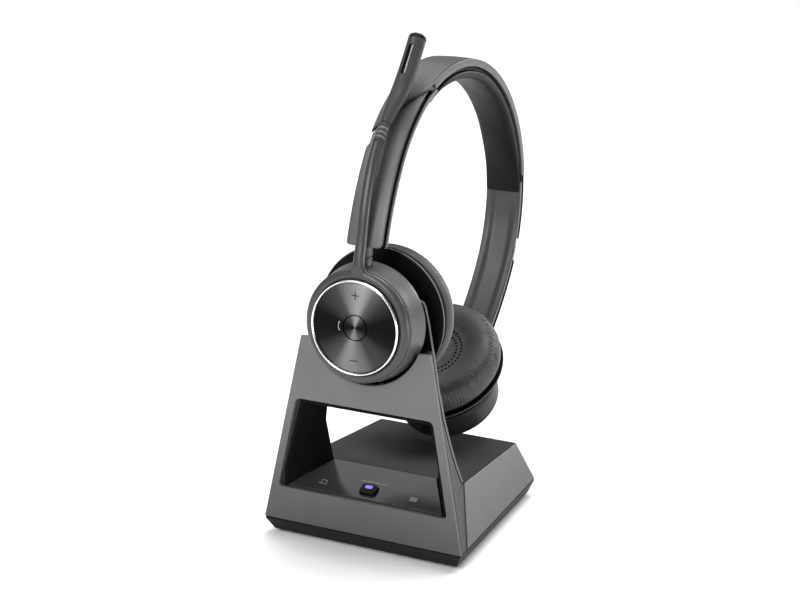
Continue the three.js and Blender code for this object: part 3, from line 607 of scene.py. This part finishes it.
def make_base_marks():
    """Plain pictograms of a computer and a keypad on the touch panel, and a lit spot on the button."""
    line = 0.22
    laptop = [
        rectangle(-1.3, 0.35, -1.3 + line, 2.0), rectangle(1.3 - line, 0.35, 1.3, 2.0),
        rectangle(-1.3, 2.0, 1.3, 2.0 + line), rectangle(-2.1, -0.2, 2.1, -0.2 + line),
    ]
    keypad = [rectangle(-1.6, -0.2, -1.6 + line * 1.8, 2.3)]
    keypad += [rectangle(-0.8 + 0.85 * i, -0.2 + 0.9 * j, -0.25 + 0.85 * i, 0.4 + 0.9 * j)
               for i in range(3) for j in range(3)]
    panel_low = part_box("touch_panel")[0]
    for name, outlines, x in (("laptop_mark", laptop, -22.2), ("keypad_mark", keypad, 21.4)):
        place = on_top("touch_panel", x * MM, panel_low.y + MARK_FORWARD * MM)
        place_piece(prism_set(name, outlines, -0.03, 0.06, place), "base", MARK, "light_pipe")
    low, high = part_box("dock_button")
    place = on_top("dock_button", (low.x + high.x) / 2, (low.y + high.y) / 2)
    window = prism_set("button_light", [rounded_rectangle(-1.7, -1.0, 1.7, 1.0, 0.6, 3)], -0.05, 0.1, place)
    place_piece(window, "dock_button", BUTTON_GLOW, "light_pipe")


# ---- ear cups ------------------------------------------------------------------------------
def stem_bore(obj, place):
    """Cuts the stem's hole through a housing's wall."""
    radius, half, reach = 2.55, 8, 26
    cutter = lathe("bore", [(0, -half, 0), (radius, -half, 0), (radius, half, 0), (0, half, 0)], None, 48)
    cutter.matrix_world = place @ Matrix.Translation((0, CUP_DEPTH * MM, reach * MM)) @ QUARTER_TURN
    return cut(obj, cutter)


def switch_pocket(obj, place):
    """Cuts the pocket that the power switch slides in."""
    corners = rectangle(-1.5, -27.5, 1.5, -24.0)
    return cut(obj, loft("pocket", [[(x, d, z) for x, z in corners] for d in (8.4, 13.2)], place))


def make_cup(side, place, boss, radii, material):
    """Housing, neck and cushion plate. The middle of the housing's face stands out by boss."""
    body = f"{side}_cup"
    face = [(0, FACE_DEPTH - boss, 0)]
    if boss:
        face += [(18.9, FACE_DEPTH - boss, 0), (18.9, FACE_DEPTH, 0)]
    front, rear = radii
    housing = lathe(f"{side}_housing_shell", face + [
        (front, FACE_DEPTH, 0.5), (front + 0.45, 8.0, 4), (rear, 14.2, 2.2), (rear - 0.6, 15.8, 0.7),
        (rear - 1.7, 15.8, 0.3), (rear - 1.9, 14.2, 0.5), (front - 1.0, 6.75, 1), (front - 2.3, 5.75, 0),
        (0, 5.75, 0),
    ], place, ROUND, 5)
    stem_bore(housing, place)
    if side == "right":
        switch_pocket(housing, place)
    place_piece(housing, body, material, "shell_satin", f"{side}_housing")
    neck = lathe(f"{side}_neck_turned", [
        (0, 14.0, 0), (23.5, 14.0, 0.2), (23.5, 15.5, 0.4), (12.4, 16.3, 1.5), (9.6, 18.4, 2.2),
        (9.6, 23.4, 0), (0, 23.4, 0),
    ], place, 96, 6)
    # the neck, seen only in the gap between housing and plate, is drawn deep black: its own dark colour with
    # painted shade on top
    place_piece(neck, body, DEEP_BLACK_AND_PAINTED_SHADE, "black_matte", f"{side}_neck")
    back = lathe(f"{side}_plate_turned", [
        (0, 23.8, 0), (28.7, 23.8, 0.5), (28.9, 23.95, 0.2), (30.0, 24.5, 0.5), (30.0, 25.5, 0.4),
        (0, 25.5, 0),
    ], place, ROUND, 4)
    place_piece(back, body, PLATE, "black_matte", f"{side}_cushion_plate")
    # painted highlight: a thin light ring at the plate's edge stands for the glint along it
    painted_edge_highlight = lathe(f"{side}_plate_edge_painted_highlight", [
        (29.4, 23.95, 0.1), (29.8, 24.05, 0.1), (29.8, 24.35, 0.1), (29.4, 24.35, 0.1),
    ], place, ROUND, 2)
    place_piece(painted_edge_highlight, body, LIGHT_GREY_AND_PAINTED_LIGHT, "shell_satin")


def cushion_profile():
    """Half section of an ear cushion, from its seam at the plate over the crest to its centre."""
    return spline([
        (28.0, CUSHION_SEAT), (28.7, 26.2), (29.2, 27.4), (29.85, 30.6), (29.3, 34.0), (27.6, 37.0),
        (24.8, 38.7), (21.6, 39.1), (18.6, 38.4), (15.6, 37.1), (11.5, 36.2), (6.0, 35.9),
        (0.0, CUSHION_CENTRE),
    ], 4)


def cushion_body(name, place, columns):
    profile = cushion_profile()[:-1]
    rows = len(profile)
    points = []
    for k in range(columns):
        turn = 2 * math.pi * k / columns
        points += [(r * math.cos(turn), d, r * math.sin(turn)) for r, d in profile]
    tip, seat = len(points), len(points) + 1
    points += [(0, CUSHION_CENTRE, 0), (0, CUSHION_SEAT, 0)]
    faces = []
    for k in range(columns):
        a, b = k * rows, ((k + 1) % columns) * rows
        faces += [(a + i, a + i + 1, b + i + 1, b + i) for i in range(rows - 1)]
        faces.append((a + rows - 1, tip, b + rows - 1))
        faces.append((a, b, seat))
    return build(name, points, faces, place)


def puff(obj, pinned, pressure, cap):
    """Lets air pressure fill a padded piece, holds how far it may move, and keeps the result."""
    frames = 20
    group = obj.vertex_groups.new(name="pinned")
    for vertex in obj.data.vertices:
        if pinned(vertex.co / MM):
            group.add([vertex.index], 1.0, "REPLACE")
    rest = [vertex.co.copy() for vertex in obj.data.vertices]
    modifier = obj.modifiers.new("cloth", "CLOTH")
    settings = modifier.settings
    settings.quality = 6
    settings.mass = 0.12
    settings.tension_stiffness = 18
    settings.compression_stiffness = 10
    settings.bending_stiffness = 0.4
    settings.use_pressure = True
    settings.uniform_pressure_force = pressure
    settings.vertex_group_mass = "pinned"
    settings.effector_weights.gravity = 0
    modifier.point_cache.frame_start = 1
    modifier.point_cache.frame_end = frames
    scene = bpy.context.scene
    for step in range(1, frames + 1):
        scene.frame_set(step)
    evaluated = obj.evaluated_get(bpy.context.evaluated_depsgraph_get())
    moved = [vertex.co.copy() for vertex in evaluated.to_mesh().vertices]
    evaluated.to_mesh_clear()
    obj.modifiers.clear()
    scene.frame_set(1)
    for vertex, start, end in zip(obj.data.vertices, rest, moved):
        step = end - start
        if step.length > cap * MM:
            step = step.normalized() * cap * MM
        vertex.co = start + step
    obj.vertex_groups.clear()


def subdivide(obj, levels):
    modifier = obj.modifiers.new("subdivision", "SUBSURF")
    modifier.levels = levels
    modifier.render_levels = levels
    return apply_modifiers(obj)


def wrinkle_cushion(obj, seed):
    """Fine radial puckers where the leather is drawn round the cushion's edge."""
    chance = random.Random(seed)
    waves = [
        (chance.randint(105, 190), chance.uniform(0, 2 * math.pi), chance.uniform(0.5, 1.0))
        for _ in range(7)
    ]
    total = sum(weight for _, _, weight in waves)
    for vertex in obj.data.vertices:
        x, d, z = vertex.co / MM
        radius = math.hypot(x, z)
        if radius < 17 or d < 26.3:
            continue
        turn = math.atan2(z, x) + 0.02 * noise.noise(Vector((x, d, z)) * 0.5)
        drift = 0.25 * math.sin(3 * turn)
        wave = sum(weight * math.sin(count * turn + phase + drift) for count, phase, weight in waves)
        patch = 0.6 + 0.7 * noise.noise(Vector((x, d, z)) * 0.22 + Vector((seed, 0, 0)))
        edge = min(1, max(0, (radius - 19) / 7)) * min(1, max(0, (d - 26.2) / 2))
        outward = Vector((x / radius * 0.75, 0.45, z / radius * 0.75))
        vertex.co += outward * (PUCKER * wave / total * patch * edge * MM)


def perforate(obj, place):
    """Two rings of small breathing holes in the cushion's middle."""
    holes = bmesh.new()
    hole, deep, middle = 0.6 * MM, 2.4 * MM, 36.6 * MM
    for radius, count, shift in ((10.9, 36, 0.5), (13.3, 44, 0)):
        for k in range(count):
            turn = 2 * math.pi * (k + shift) / count
            at = Matrix.Translation((radius * math.cos(turn) * MM, middle, radius * math.sin(turn) * MM))
            bmesh.ops.create_cone(
                holes, cap_ends=True, segments=12, radius1=hole, radius2=hole, depth=deep,
                matrix=at @ QUARTER_TURN)
    mesh = bpy.data.meshes.new("holes")
    holes.to_mesh(mesh)
    holes.free()
    cut(obj, new_object("holes", mesh, place))


def make_cushion(side, place, seed):
    obj = cushion_body(f"{side}_cushion_soft", place, 160)
    puff(obj, lambda co: co.y < 26.6 or math.hypot(co.x, co.z) < 15.2, 3.5, 0.7)
    subdivide(obj, 2)
    wrinkle_cushion(obj, seed)
    perforate(obj, place)
    smooth(obj, 60)
    # painted shade: the cushion's side next to the plate is drawn deep black for the shade in the gap there
    paint(obj, DEEP_BLACK_AND_PAINTED_SHADE, lambda centre, normal: centre.y < 27.6 * MM)
    place_piece(obj, f"{side}_cup", LEATHER, "leatherette", f"{side}_cushion")


def make_right_cap():
    cap = lathe("right_cap_turned", [
        (0, 0.7, 0), (12, 0.8, 3), (19.8, 1.1, 3), (22.8, 2.4, 1.5), (23.2, 3.85, 0.3), (0, 3.85, 0),
    ], RIGHT_CUP, ROUND, 6)
    place_piece(cap, "right_cup", SHELL_PAINTED_SHADE, "shell_satin", "right_cap")


def make_power_switch():
    switch = refined("power_switch", 0.3)
    place_piece(switch, "power_switch", BLACK, "black_matte", "power_switch")


# ---- controls on the docked cup ------------------------------------------------------------
def make_controls():
    turns = [2 * math.pi * k / 16 for k in range(16)]
    section = [(RING_R + RING_HALF * math.cos(t), RING_DEPTH + RING_RISE * math.sin(t), 0) for t in turns]
    ring = lathe("silver_ring_turned", section, LEFT_CUP, 192)
    place_piece(ring, "left_cup", RING, "silver", "silver_ring")
    hole = BUTTON_R + 0.4
    disc = lathe("volume_disc_turned", [
        (hole, 0.62, 0.15), (DISC_R, 0.45, 0.35), (DISC_R, 1.6, 0.1), (hole, 1.6, 0.1),
    ], LEFT_CUP, 192, 4)
    place_piece(disc, "volume_disc", DISC, "disc_metal", "volume_disc", turned=True)
    button = lathe("call_button_turned", [
        (0, 0.55, 0), (BUTTON_R - 0.15, 0.55, 0.3), (BUTTON_R, 0.75, 0.1), (BUTTON_R, 1.5, 0.1), (0, 1.5, 0),
    ], LEFT_CUP, 128, 4)
    place_piece(button, "call_button", DISC, "disc_metal", "call_button", turned=True)


def make_disc_marks():
    """Plus, minus and a dot near the disc's rim, and a plain handset."""
    half, line, plus, minus = 1.75, 0.17, 13.7, -14.1
    signs = [
        rectangle(-half, plus - line, half, plus + line), rectangle(-line, plus - half, line, plus - line),
        rectangle(-line, plus + line, line, plus + half), rectangle(-half, minus - line, half, minus + line),
        polygon((9.6, 0), 0.3, 12),
    ]
    marks = prism_set("volume_signs", signs, 0.44, 0.2, LEFT_CUP)
    place_piece(marks, "volume_disc", DARK_MARK, "black_matte")
    arc = [(-6.9 - 0.9 * math.cos(t), 2.2 * math.sin(t)) for t in (-1.1, -0.7, -0.3, 0.0, 0.3, 0.7, 1.1)]
    handset = arc + [(x + 0.32 + 0.25 * (abs(z) > 1.2), z) for x, z in reversed(arc)]
    mark = prism_set("handset_mark", [handset], 0.5, 0.15, LEFT_CUP)
    place_piece(mark, "volume_disc", MARK, "light_pipe")


def make_inner_pieces():
    """The pieces inside keep their CAD shape and get a finished surface."""
    inner = {
        "ballast_plate": STEEL, "dock_circuit_board": BOARD,
        "headset_circuit_board": BOARD, "headset_battery": STEEL,
        "left_speaker": STEEL, "right_speaker": STEEL,
        "charge_contact_left": BRASS, "charge_contact_right": BRASS, "headband_spring": STEEL,
    }
    for node, material in inner.items():
        NODES[node].data.materials.clear()
        NODES[node].data.materials.append(material)


# ---- microphone boom -----------------------------------------------------------------------
# each stop: height above the cup's axis, depth, half width, and in the arm half thickness
BOOM_ARM = [
    (21.8, 2.3, 5.6, 1.1), (23.2, 2.4, 4.5, 1.25), (24.4, 2.55, 3.6, 1.45), (26.2, 2.9, 2.8, 1.65),
    (30.0, 3.7, 2.62, 1.75), (36.0, 5.0, 2.6, 1.8), (48.0, 7.0, 2.55, 1.8), (58.0, 9.6, 2.45, 1.8),
    (67.0, 13.2, 2.35, 1.9), (75.2, 17.9, 2.3, 2.0),
]
BOOM_GRIP = [(75.1, 17.85), (81.7, 23.5)]
BOOM_TIP = [
    (81.9, 23.7, 2.35), (85.5, 27.4, 2.9), (90.5, 32.8, 3.6), (95.5, 37.9, 3.9), (104.0, 44.5, 3.95),
    (113.7, 50.9, 3.95),
]
BOOM_CAP = [(113.8, 50.95, 3.9), (114.4, 51.35, 3.9), (115.1, 51.8, 3.6), (115.35, 52.0, 3.0)]
TIP_FLATNESS = 0.92


def boom_ring(path, i, half_width, half_thick, count=28):
    """An oval ring across the boom at the stop i of its path."""
    ahead, behind = path[min(i + 1, len(path) - 1)], path[max(i - 1, 0)]
    along = Vector((ahead[0] - behind[0], ahead[1] - behind[1])).normalized()
    height, depth = path[i][:2]
    ring = []
    for k in range(count):
        turn = 2 * math.pi * k / count
        across = half_thick * math.sin(turn)
        ring.append((half_width * math.cos(turn), depth + across * along.x, height - across * along.y))
    return ring


def make_boom_arm():
    """The hub ring round the disc and the rod that grows out of it, in one skin."""
    path = spline(BOOM_ARM, 8)
    arm = loft("arm_blank", [boom_ring(path, i, stop[2], stop[3]) for i, stop in enumerate(path)], None)
    hub = lathe("boom_arm_turned", [
        (20.4, 1.7, 0.1), (21.0, 1.15, 0.5), (22.7, 1.25, 1.2), (23.9, 2.2, 0.8), (24.25, 3.2, 0.3),
        (24.1, 3.8, 0.15), (20.4, 3.8, 0.1),
    ], None, ROUND, 5)
    joined = bmesh.new()
    for piece in (arm, hub):
        joined.from_mesh(piece.data)
    joined.to_mesh(hub.data)
    joined.free()
    bpy.data.objects.remove(arm)
    remesh = hub.modifiers.new("union", "REMESH")
    remesh.mode = "VOXEL"
    remesh.voxel_size = 0.25 * MM
    soften = hub.modifiers.new("soften", "SMOOTH")
    soften.factor = 0.5
    soften.iterations = 12
    bpy.context.view_layer.update()
    apply_modifiers(hub)
    hub.matrix_world = LEFT_CUP
    place_piece(smooth(hub, 60), "boom", BOOM, "shell_satin", "boom_arm")


def make_boom_grip():
    """The thin waist below the tip, with its three raised bands."""
    start, end = BOOM_GRIP
    steps, half_width, half_thick = 60, 2.3, 2.15
    stops = [tuple(a + (b - a) * i / steps for a, b in zip(start, end)) for i in range(steps + 1)]
    rings = [boom_ring(stops, i, half_width, half_thick) for i in range(steps + 1)]
    grip = loft("boom_grip_core", rings, LEFT_CUP)
    place_piece(smooth(grip, 50), "boom", BOOM, "rubber_black", "boom_grip")
    for n in range(3):
        middle = 12 + 15 * n
        rings = [boom_ring(stops, middle + i, half_width + swell, half_thick + swell)
                 for i, swell in ((-2, 0.02), (-1, 0.1), (0, 0.13), (1, 0.1), (2, 0.02))]
        band = smooth(loft(f"boom_grip_band_{n + 1}", rings, LEFT_CUP), 60)
        place_piece(band, "boom", LIGHT_GREY_AND_PAINTED_LIGHT, "shell_satin")


def make_boom_tip():
    """The thick end with its microphone slot, the bar and the screen inside it, and the end cap."""
    path = spline(BOOM_TIP, 8)
    rings = [boom_ring(path, i, stop[2], TIP_FLATNESS * stop[2], 40) for i, stop in enumerate(path)]
    tip = loft("boom_tip_turned", rings, LEFT_CUP)
    (low_height, low_depth, _), (height, depth, _) = BOOM_TIP[4:]
    lean = math.atan2(depth - low_depth, height - low_height)
    middle = Matrix.Translation(((0, (low_depth + 0.6) * MM, (low_height + 0.9) * MM)))
    on_tip = LEFT_CUP @ middle @ Matrix.Rotation(-lean, 4, "X")
    cut(tip, prism_set("slot", [rounded_rectangle(-1.25, -7.2, 1.25, 7.2, 1.2, 5)], -6, 3.7, on_tip))
    place_piece(smooth(tip, 40), "boom", BOOM, "shell_satin", "boom_tip")
    bar = rounded_rectangle(0.3, -6.7, 0.95, 6.7, 0.4, 4)
    insert = prism_set("microphone_insert_bar", [bar], -3.5, 1.15, on_tip)
    place_piece(smooth(insert), "boom", INSERT, "silver", "microphone_insert")
    screen = rounded_rectangle(-1.15, -7.0, 1.15, 7.0, 1.1, 4)
    bed = prism_set("microphone_screen", [screen], -2.5, 0.18, on_tip)
    place_piece(bed, "boom", DEEP_BLACK_AND_PAINTED_SHADE, "black_matte")
    rings = [boom_ring(BOOM_CAP, i, stop[2], TIP_FLATNESS * stop[2], 40) for i, stop in enumerate(BOOM_CAP)]
    cap = loft("boom_cap_domed", rings, LEFT_CUP)
    place_piece(smooth(cap, 50), "boom", BLACK, "black_matte", "boom_end_cap")


# ---- headband and arms ---------------------------------------------------------------------
def slab(half, outer, inner, radius, crown=0.0):
    """A strip's section: flat or slightly crowned outside, rounded edges."""
    shares = [1 - 0.25 * k for k in range(1, 8)]
    corners = [(-half, inner, radius), (-half, outer, radius)]
    corners += [(half * share, outer - crown * (1 - share ** 2), 0) for share in reversed(shares)]
    corners += [(half, outer, radius), (half, inner, radius)]
    corners += [(half * share, inner, 0) for share in shares]
    return rounded(corners, 4)


def seam_angle(side, shift):
    """The slanted seam's angle from the crown at a place x across the band."""
    slope = math.degrees(math.tan(math.radians(SEAM_SLANT)) / BAND_R)
    return lambda x: side * (SEAM_CENTRE + shift + side * slope * x)


def parting_line_and_painted_shade(centre, normal):
    """The shell's parting line along each rim; and, where the lips have ended, its thin edge drawn black as
    painted shade in the gap beside the arm.
    """
    across = abs(centre.x) / MM
    past_lips = abs(math.degrees(math.atan2(centre.y, centre.z))) > LIP_END
    # painted shade: past the lips the shell's thin edge is drawn black
    if past_lips:
        return edge_depth(centre) > 0.7 and across > COVER_HALF - 0.3
    return BAND_HALF - 0.94 < across < BAND_HALF - 0.66 and edge_depth(centre) < 0.5


def shell_section(share, angle_at):
    """Top skin with a fine parting line along each rim, and side lips as far as the arms' ends."""
    past = [min(1, max(0, (abs(angle_at(side * BAND_HALF)) - LIP_END + 1.5) / 3)) for side in (-1, 1)]
    left, right = (LIP_DEPTH if ended < 0.5 else SHELL_T + 0.05 for ended in past)
    near, far = (BAND_HALF + (COVER_HALF - BAND_HALF) * ended for ended in past)
    cut_left, cut_right = (0.02 + 0.28 * (1 - ended) for ended in past)
    lip = BAND_HALF - LIP_WIDTH
    start, width = -near + 0.92, near + far - 2 * 0.92
    shares = [k / 8 for k in range(9)]
    corners = [(-near, left, 0.25), (-near, 0.1, 0.5), (-near + 0.68, 0.0, 0.05), (-near + 0.8, cut_left, 0)]
    corners += [(start + width * t, -SHELL_CROWN * (1 - (2 * t - 1) ** 2), 0) for t in shares]
    corners += [(far - 0.8, cut_right, 0), (far - 0.68, 0.0, 0.05), (far, 0.1, 0.5), (far, right, 0.25)]
    corners += [(lip, right, 0.1), (lip, SHELL_T, 0.1)]
    corners += [(lip * (1 - 0.25 * k), SHELL_T, 0) for k in range(1, 8)]
    corners += [(-lip, SHELL_T, 0.1), (-lip, left, 0.1)]
    return rounded(corners, 3)


def rounded_end(half, radius, distance):
    """Half width of a strip that close to its end, so that its corners are round."""
    if distance >= radius:
        return half
    return half - radius + math.sqrt(max(radius ** 2 - (radius - distance) ** 2, 0))


def edge_depth(point):
    """How far under the band's outside a point of a band piece in metres lies, in millimetres."""
    y, z = point.y / MM, point.z / MM
    if z >= 0:
        return BAND_R - math.hypot(y, z)
    return ARM_R - math.hypot(abs(y) + ARM_R - BAND_R, z)


def make_headband():
    left_seam, right_seam = seam_angle(-1, 0), seam_angle(1, 0)
    shell = band_sweep("headband_shell_swept", shell_section, left_seam, right_seam, BAND, 160)
    paint(shell, DEEP_BLACK_AND_PAINTED_SHADE, parting_line_and_painted_shade)
    place_piece(shell, "headband", SHELL, "shell_satin", "headband_shell")
    carrier = band_sweep(
        "headband_carrier_swept", lambda share, angle_at: slab(7.3, *LINER_DEPTH, 0.3),
        lambda x: -CARRIER_END, lambda x: CARRIER_END, BAND, SPINE_STEPS)
    place_piece(carrier, "headband", BLACK, "black_matte", "headband_carrier")


def make_arm(side, sign, place):
    """One arm: its cover, liner and slider, a black filler between them that is painted shade for the gap,
    and the strip seen in the seam, drawn light as painted light.
    """
    body = f"{side}_arm"
    arc = (ARM_TIP - SEAM_CENTRE) * math.radians(1) * BAND_R
    liner_outer, liner_inner = LINER_DEPTH

    def from_tip(share):
        return (1 - share if sign > 0 else share) * arc

    def cover_section(share, angle_at):
        return slab(rounded_end(COVER_HALF, 2.0, from_tip(share)), 0, SHELL_T, 0.5, 0.25)

    def liner_section(share, angle_at):
        """Inner skin: a shallow trough between two wide rounded rims."""
        half = rounded_end(BAND_HALF, 1.6, from_tip(share))
        inside = [(half - 1.3) * (1 - k / 12) for k in range(25)]
        steps = [min(1, max(0, (half - abs(x) - 2.4) / 2.6)) for x in inside]
        trough = [(x, liner_inner - 0.85 * t * t * (3 - 2 * t), 0) for x, t in zip(inside, steps)]
        back = [(-half, liner_inner, 0.6), (-half, liner_outer, 0.3)]
        back += [(-half + 0.8, liner_outer, 0), (half - 0.8, liner_outer, 0)]
        return rounded(back + [(half, liner_outer, 0.3), (half, liner_inner, 0.6)] + trough, 4)

    def slider_section(share, angle_at):
        return slab(SLIDER_HALF, *SLIDER_DEPTH, 0.25)

    def shade_filler_section(share, angle_at):
        return slab(7.6, SHELL_T + 0.05, liner_outer + 0.1, 0.2)

    def face_section(share, angle_at):
        """The strip seen between the seams, narrower where it slides under the band's lip."""
        near, far = (7.2, 8.2) if sign > 0 else (8.2, 7.2)
        across = [-near + (near + far) * k / 8 for k in range(1, 8)]
        outer, inner, edge = SHELL_T + 0.12, SLIDER_DEPTH[0] - 0.03, 0.06
        corners = [(-near, inner, edge), (-near, outer, edge)] + [(x, outer, 0) for x in across]
        corners += [(far, outer, edge), (far, inner, edge)] + [(x, inner, 0) for x in reversed(across)]
        return rounded(corners, 4)

    def at(angle):
        return lambda x: sign * angle

    def run(name, section, start, end, steps=SPINE_STEPS):
        ends = (end, start) if sign < 0 else (start, end)
        return band_sweep(f"{side}_{name}", section, ends[0], ends[1], place, steps)

    def on_painted_rim_highlight(centre, normal):
        return abs(centre.x) > (BAND_HALF - 0.75) * MM and edge_depth(centre) < 4.7

    cover = run("cover_swept", cover_section, seam_angle(sign, SEAM_WINDOW), at(ARM_TIP))
    # painted shade: the cover's sides and underside are drawn deep black for the shade in the gap beneath
    paint(cover, DEEP_BLACK_AND_PAINTED_SHADE, lambda centre, normal: edge_depth(centre) > 0.55)
    place_piece(cover, body, SHELL, "shell_satin", f"{side}_arm_cover")
    liner = run("liner_swept", liner_section, at(LINER_START), at(ARM_TIP))
    # painted shade: the liner's outer step, under the cover, is drawn deep black
    paint(liner, DEEP_BLACK_AND_PAINTED_SHADE, lambda centre, normal: edge_depth(centre) < liner_outer + 0.35)
    # painted highlight: the liner's outer rim is drawn lighter for the light it catches
    paint(liner, RIM_PAINTED_HIGHLIGHT, on_painted_rim_highlight)
    place_piece(liner, body, LINER, "shell_satin", f"{side}_arm_liner")
    slider = run("slider_swept", slider_section, at(SLIDER_START), at(ARM_TIP - 10))
    # painted shade: the slider, a dark grey part, is drawn deep black for the shade in the groove it shows in
    place_piece(slider, body, DEEP_BLACK_AND_PAINTED_SHADE, "black_matte", f"{side}_arm_slider")
    # painted shade: a black filler put in the gap between cover and liner
    shade_filler = run("arm_painted_shade_filler", shade_filler_section, seam_angle(sign, SEAM_WINDOW + 2), at(ARM_TIP - 10), 64)
    place_piece(shade_filler, body, DEEP_BLACK_AND_PAINTED_SHADE, "black_matte")
    # painted light: the slider's face in the seam is drawn light grey, lighter than the slider's own dark
    # grey, for the light it catches
    face = run("slider_face_painted_light", face_section, seam_angle(sign, 0.35), seam_angle(sign, SEAM_WINDOW - 0.1), 24)
    place_piece(face, body, LIGHT_GREY_AND_PAINTED_LIGHT, "shell_satin")


def make_stem(side, place):
    """Steel pin, stepped in two, that turns in the cup and tilts in the arm."""
    upright = place @ Matrix.Translation((0, CUP_DEPTH * MM, CUP_REACH * MM)) @ QUARTER_TURN
    pin = lathe(f"{side}_stem_turned", [
        (0, -14.6, 0), (3.2, -14.6, 0.2), (3.2, -13.2, 0.2), (2.3, -13.0, 0.3), (2.3, -7.4, 0.7),
        (1.95, -7.0, 0.2), (1.95, -6.6, 0.2), (2.45, -6.3, 0.3), (2.45, -1.6, 0.7), (0, -1.4, 0),
    ], upright, 64, 4)
    place_piece(pin, f"{side}_stem", SHELL, "steel", f"{side}_stem")


def make_pad():
    """The headband's pad, thick at the crown and tapered towards its ends."""
    outer, crest = PAD_DEPTH
    thin = outer + 0.35
    turns = [math.pi * k / 27 for k in range(28)]

    def section(share, angle_at):
        end = 1 - abs(angle_at(0)) / PAD_END
        ease = min(1, end / 0.45)
        swell = ease * ease * (3 - 2 * ease)
        inner = thin + (crest - thin) * (0.18 + 0.82 * swell)
        half = rounded_end(PAD_HALF, 1.2, end * PAD_END * math.radians(1) * BAND_R)
        rise = inner - outer - 0.25
        points = [(-half * math.cos(t), outer + 0.25 + rise * abs(math.sin(t)) ** 0.42) for t in turns]
        return points + [(half - 0.35, outer), (-half + 0.35, outer)]

    pad = band_sweep("headband_pad_soft", section, lambda x: -PAD_END, lambda x: PAD_END, BAND, 120)
    puff(pad, lambda co: co.y ** 2 + co.z ** 2 > (BAND_R - outer - 0.3) ** 2, 2.0, 0.35)
    smooth(pad, 60)
    place_piece(pad, "headband", PAD_LEATHER, "leatherette", "headband_pad")


# ---- studio --------------------------------------------------------------------------------
def make_camera():
    azimuth, elevation = math.radians(CAMERA_AZIMUTH), math.radians(CAMERA_ELEVATION)
    level = Vector((math.sin(azimuth), -math.cos(azimuth), 0)) * math.cos(elevation)
    back = level + Vector((0, 0, math.sin(elevation)))
    data = bpy.data.cameras.new("camera")
    data.lens = CAMERA_LENS
    data.sensor_width = 36
    camera = new_object("camera", data)
    camera.location = Vector(CAMERA_TARGET) * MM + back * CAMERA_DISTANCE * MM
    camera.rotation_euler = back.to_track_quat("Z", "Y").to_euler()
    bpy.context.scene.camera = camera


def area_light(name, location, size, power):
    """A soft box that faces the object's middle. Metres and watts."""
    data = bpy.data.lights.new(name, "AREA")
    data.shape = "RECTANGLE"
    data.size, data.size_y = size
    data.energy = power
    light = new_object(name, data)
    light.location = location
    light.rotation_euler = (Vector(location) - Vector(LIGHT_AIM)).to_track_quat("Z", "Y").to_euler()


def make_world():
    bpy.context.scene.view_settings.view_transform = "Standard"
    world = bpy.data.worlds.new("studio")
    bpy.context.scene.world = world
    world.use_nodes = True
    backdrop = world.node_tree.nodes["Background"]
    set_inputs(backdrop, {"Color": (1, 1, 1, 1), "Strength": 0.16})


def make_floor():
    mesh = bpy.data.meshes.new("floor")
    reach = 60
    corners = [(x, y, 0) for x, y in rectangle(-reach, -reach, reach, reach)]
    mesh.from_pydata(corners, [], [(0, 1, 2, 3)])
    floor = new_object("floor", mesh)
    floor.location.z = -0.0002
    material, tree, principled = shader("floor_paper", 0.9)
    colour_surface(tree, principled, ramp(tree, noise_texture(tree, 60, 3), grey(0.9), grey(0.93)))
    mesh.materials.append(material)


def make_lights():
    overhead = bpy.data.lights.new("overhead", "SUN")
    overhead.energy = 2.9
    overhead.angle = math.radians(40)
    sun = new_object("overhead", overhead)
    sun.rotation_euler = Vector((0.1, 0.3, 1.0)).to_track_quat("Z", "Y").to_euler()
    area_light("key", (-0.17, -1.05, 0.62), (0.5, 0.45), 7)
    area_light("front_left", (-0.45, -0.63, 1.0), (0.35, 0.5), 3)
    area_light("right", (1.15, -0.15, 0.12), (0.35, 0.2), 4.5)
    area_light("back_right", (0.45, 1.05, 0.48), (0.4, 0.3), 6)
    area_light("back_left", (-0.6, 0.5, 1.05), (0.9, 0.9), 3.1)


make_camera()
make_base_marks()
make_base()
make_feet()
make_cup("left", LEFT_CUP, 1.7, (24.3, 25.8), SHELL)
# painted shade: the far cup gets a darker copy of the shell's plastic for the shade it sits in
make_cup("right", RIGHT_CUP, 0, (23.2, 24.3), SHELL_PAINTED_SHADE)
make_controls()
make_disc_marks()
make_boom_arm()
make_boom_grip()
make_boom_tip()
make_headband()
make_arm("left", -1, BAND)
make_arm("right", 1, RIGHT_ARM)
make_stem("left", LEFT_CUP)
make_stem("right", RIGHT_CUP)
make_right_cap()
make_power_switch()
make_inner_pieces()
make_pad()
make_cushion("left", LEFT_CUP, 11)
make_cushion("right", RIGHT_CUP, 23)
make_world()
make_floor()
make_lights()
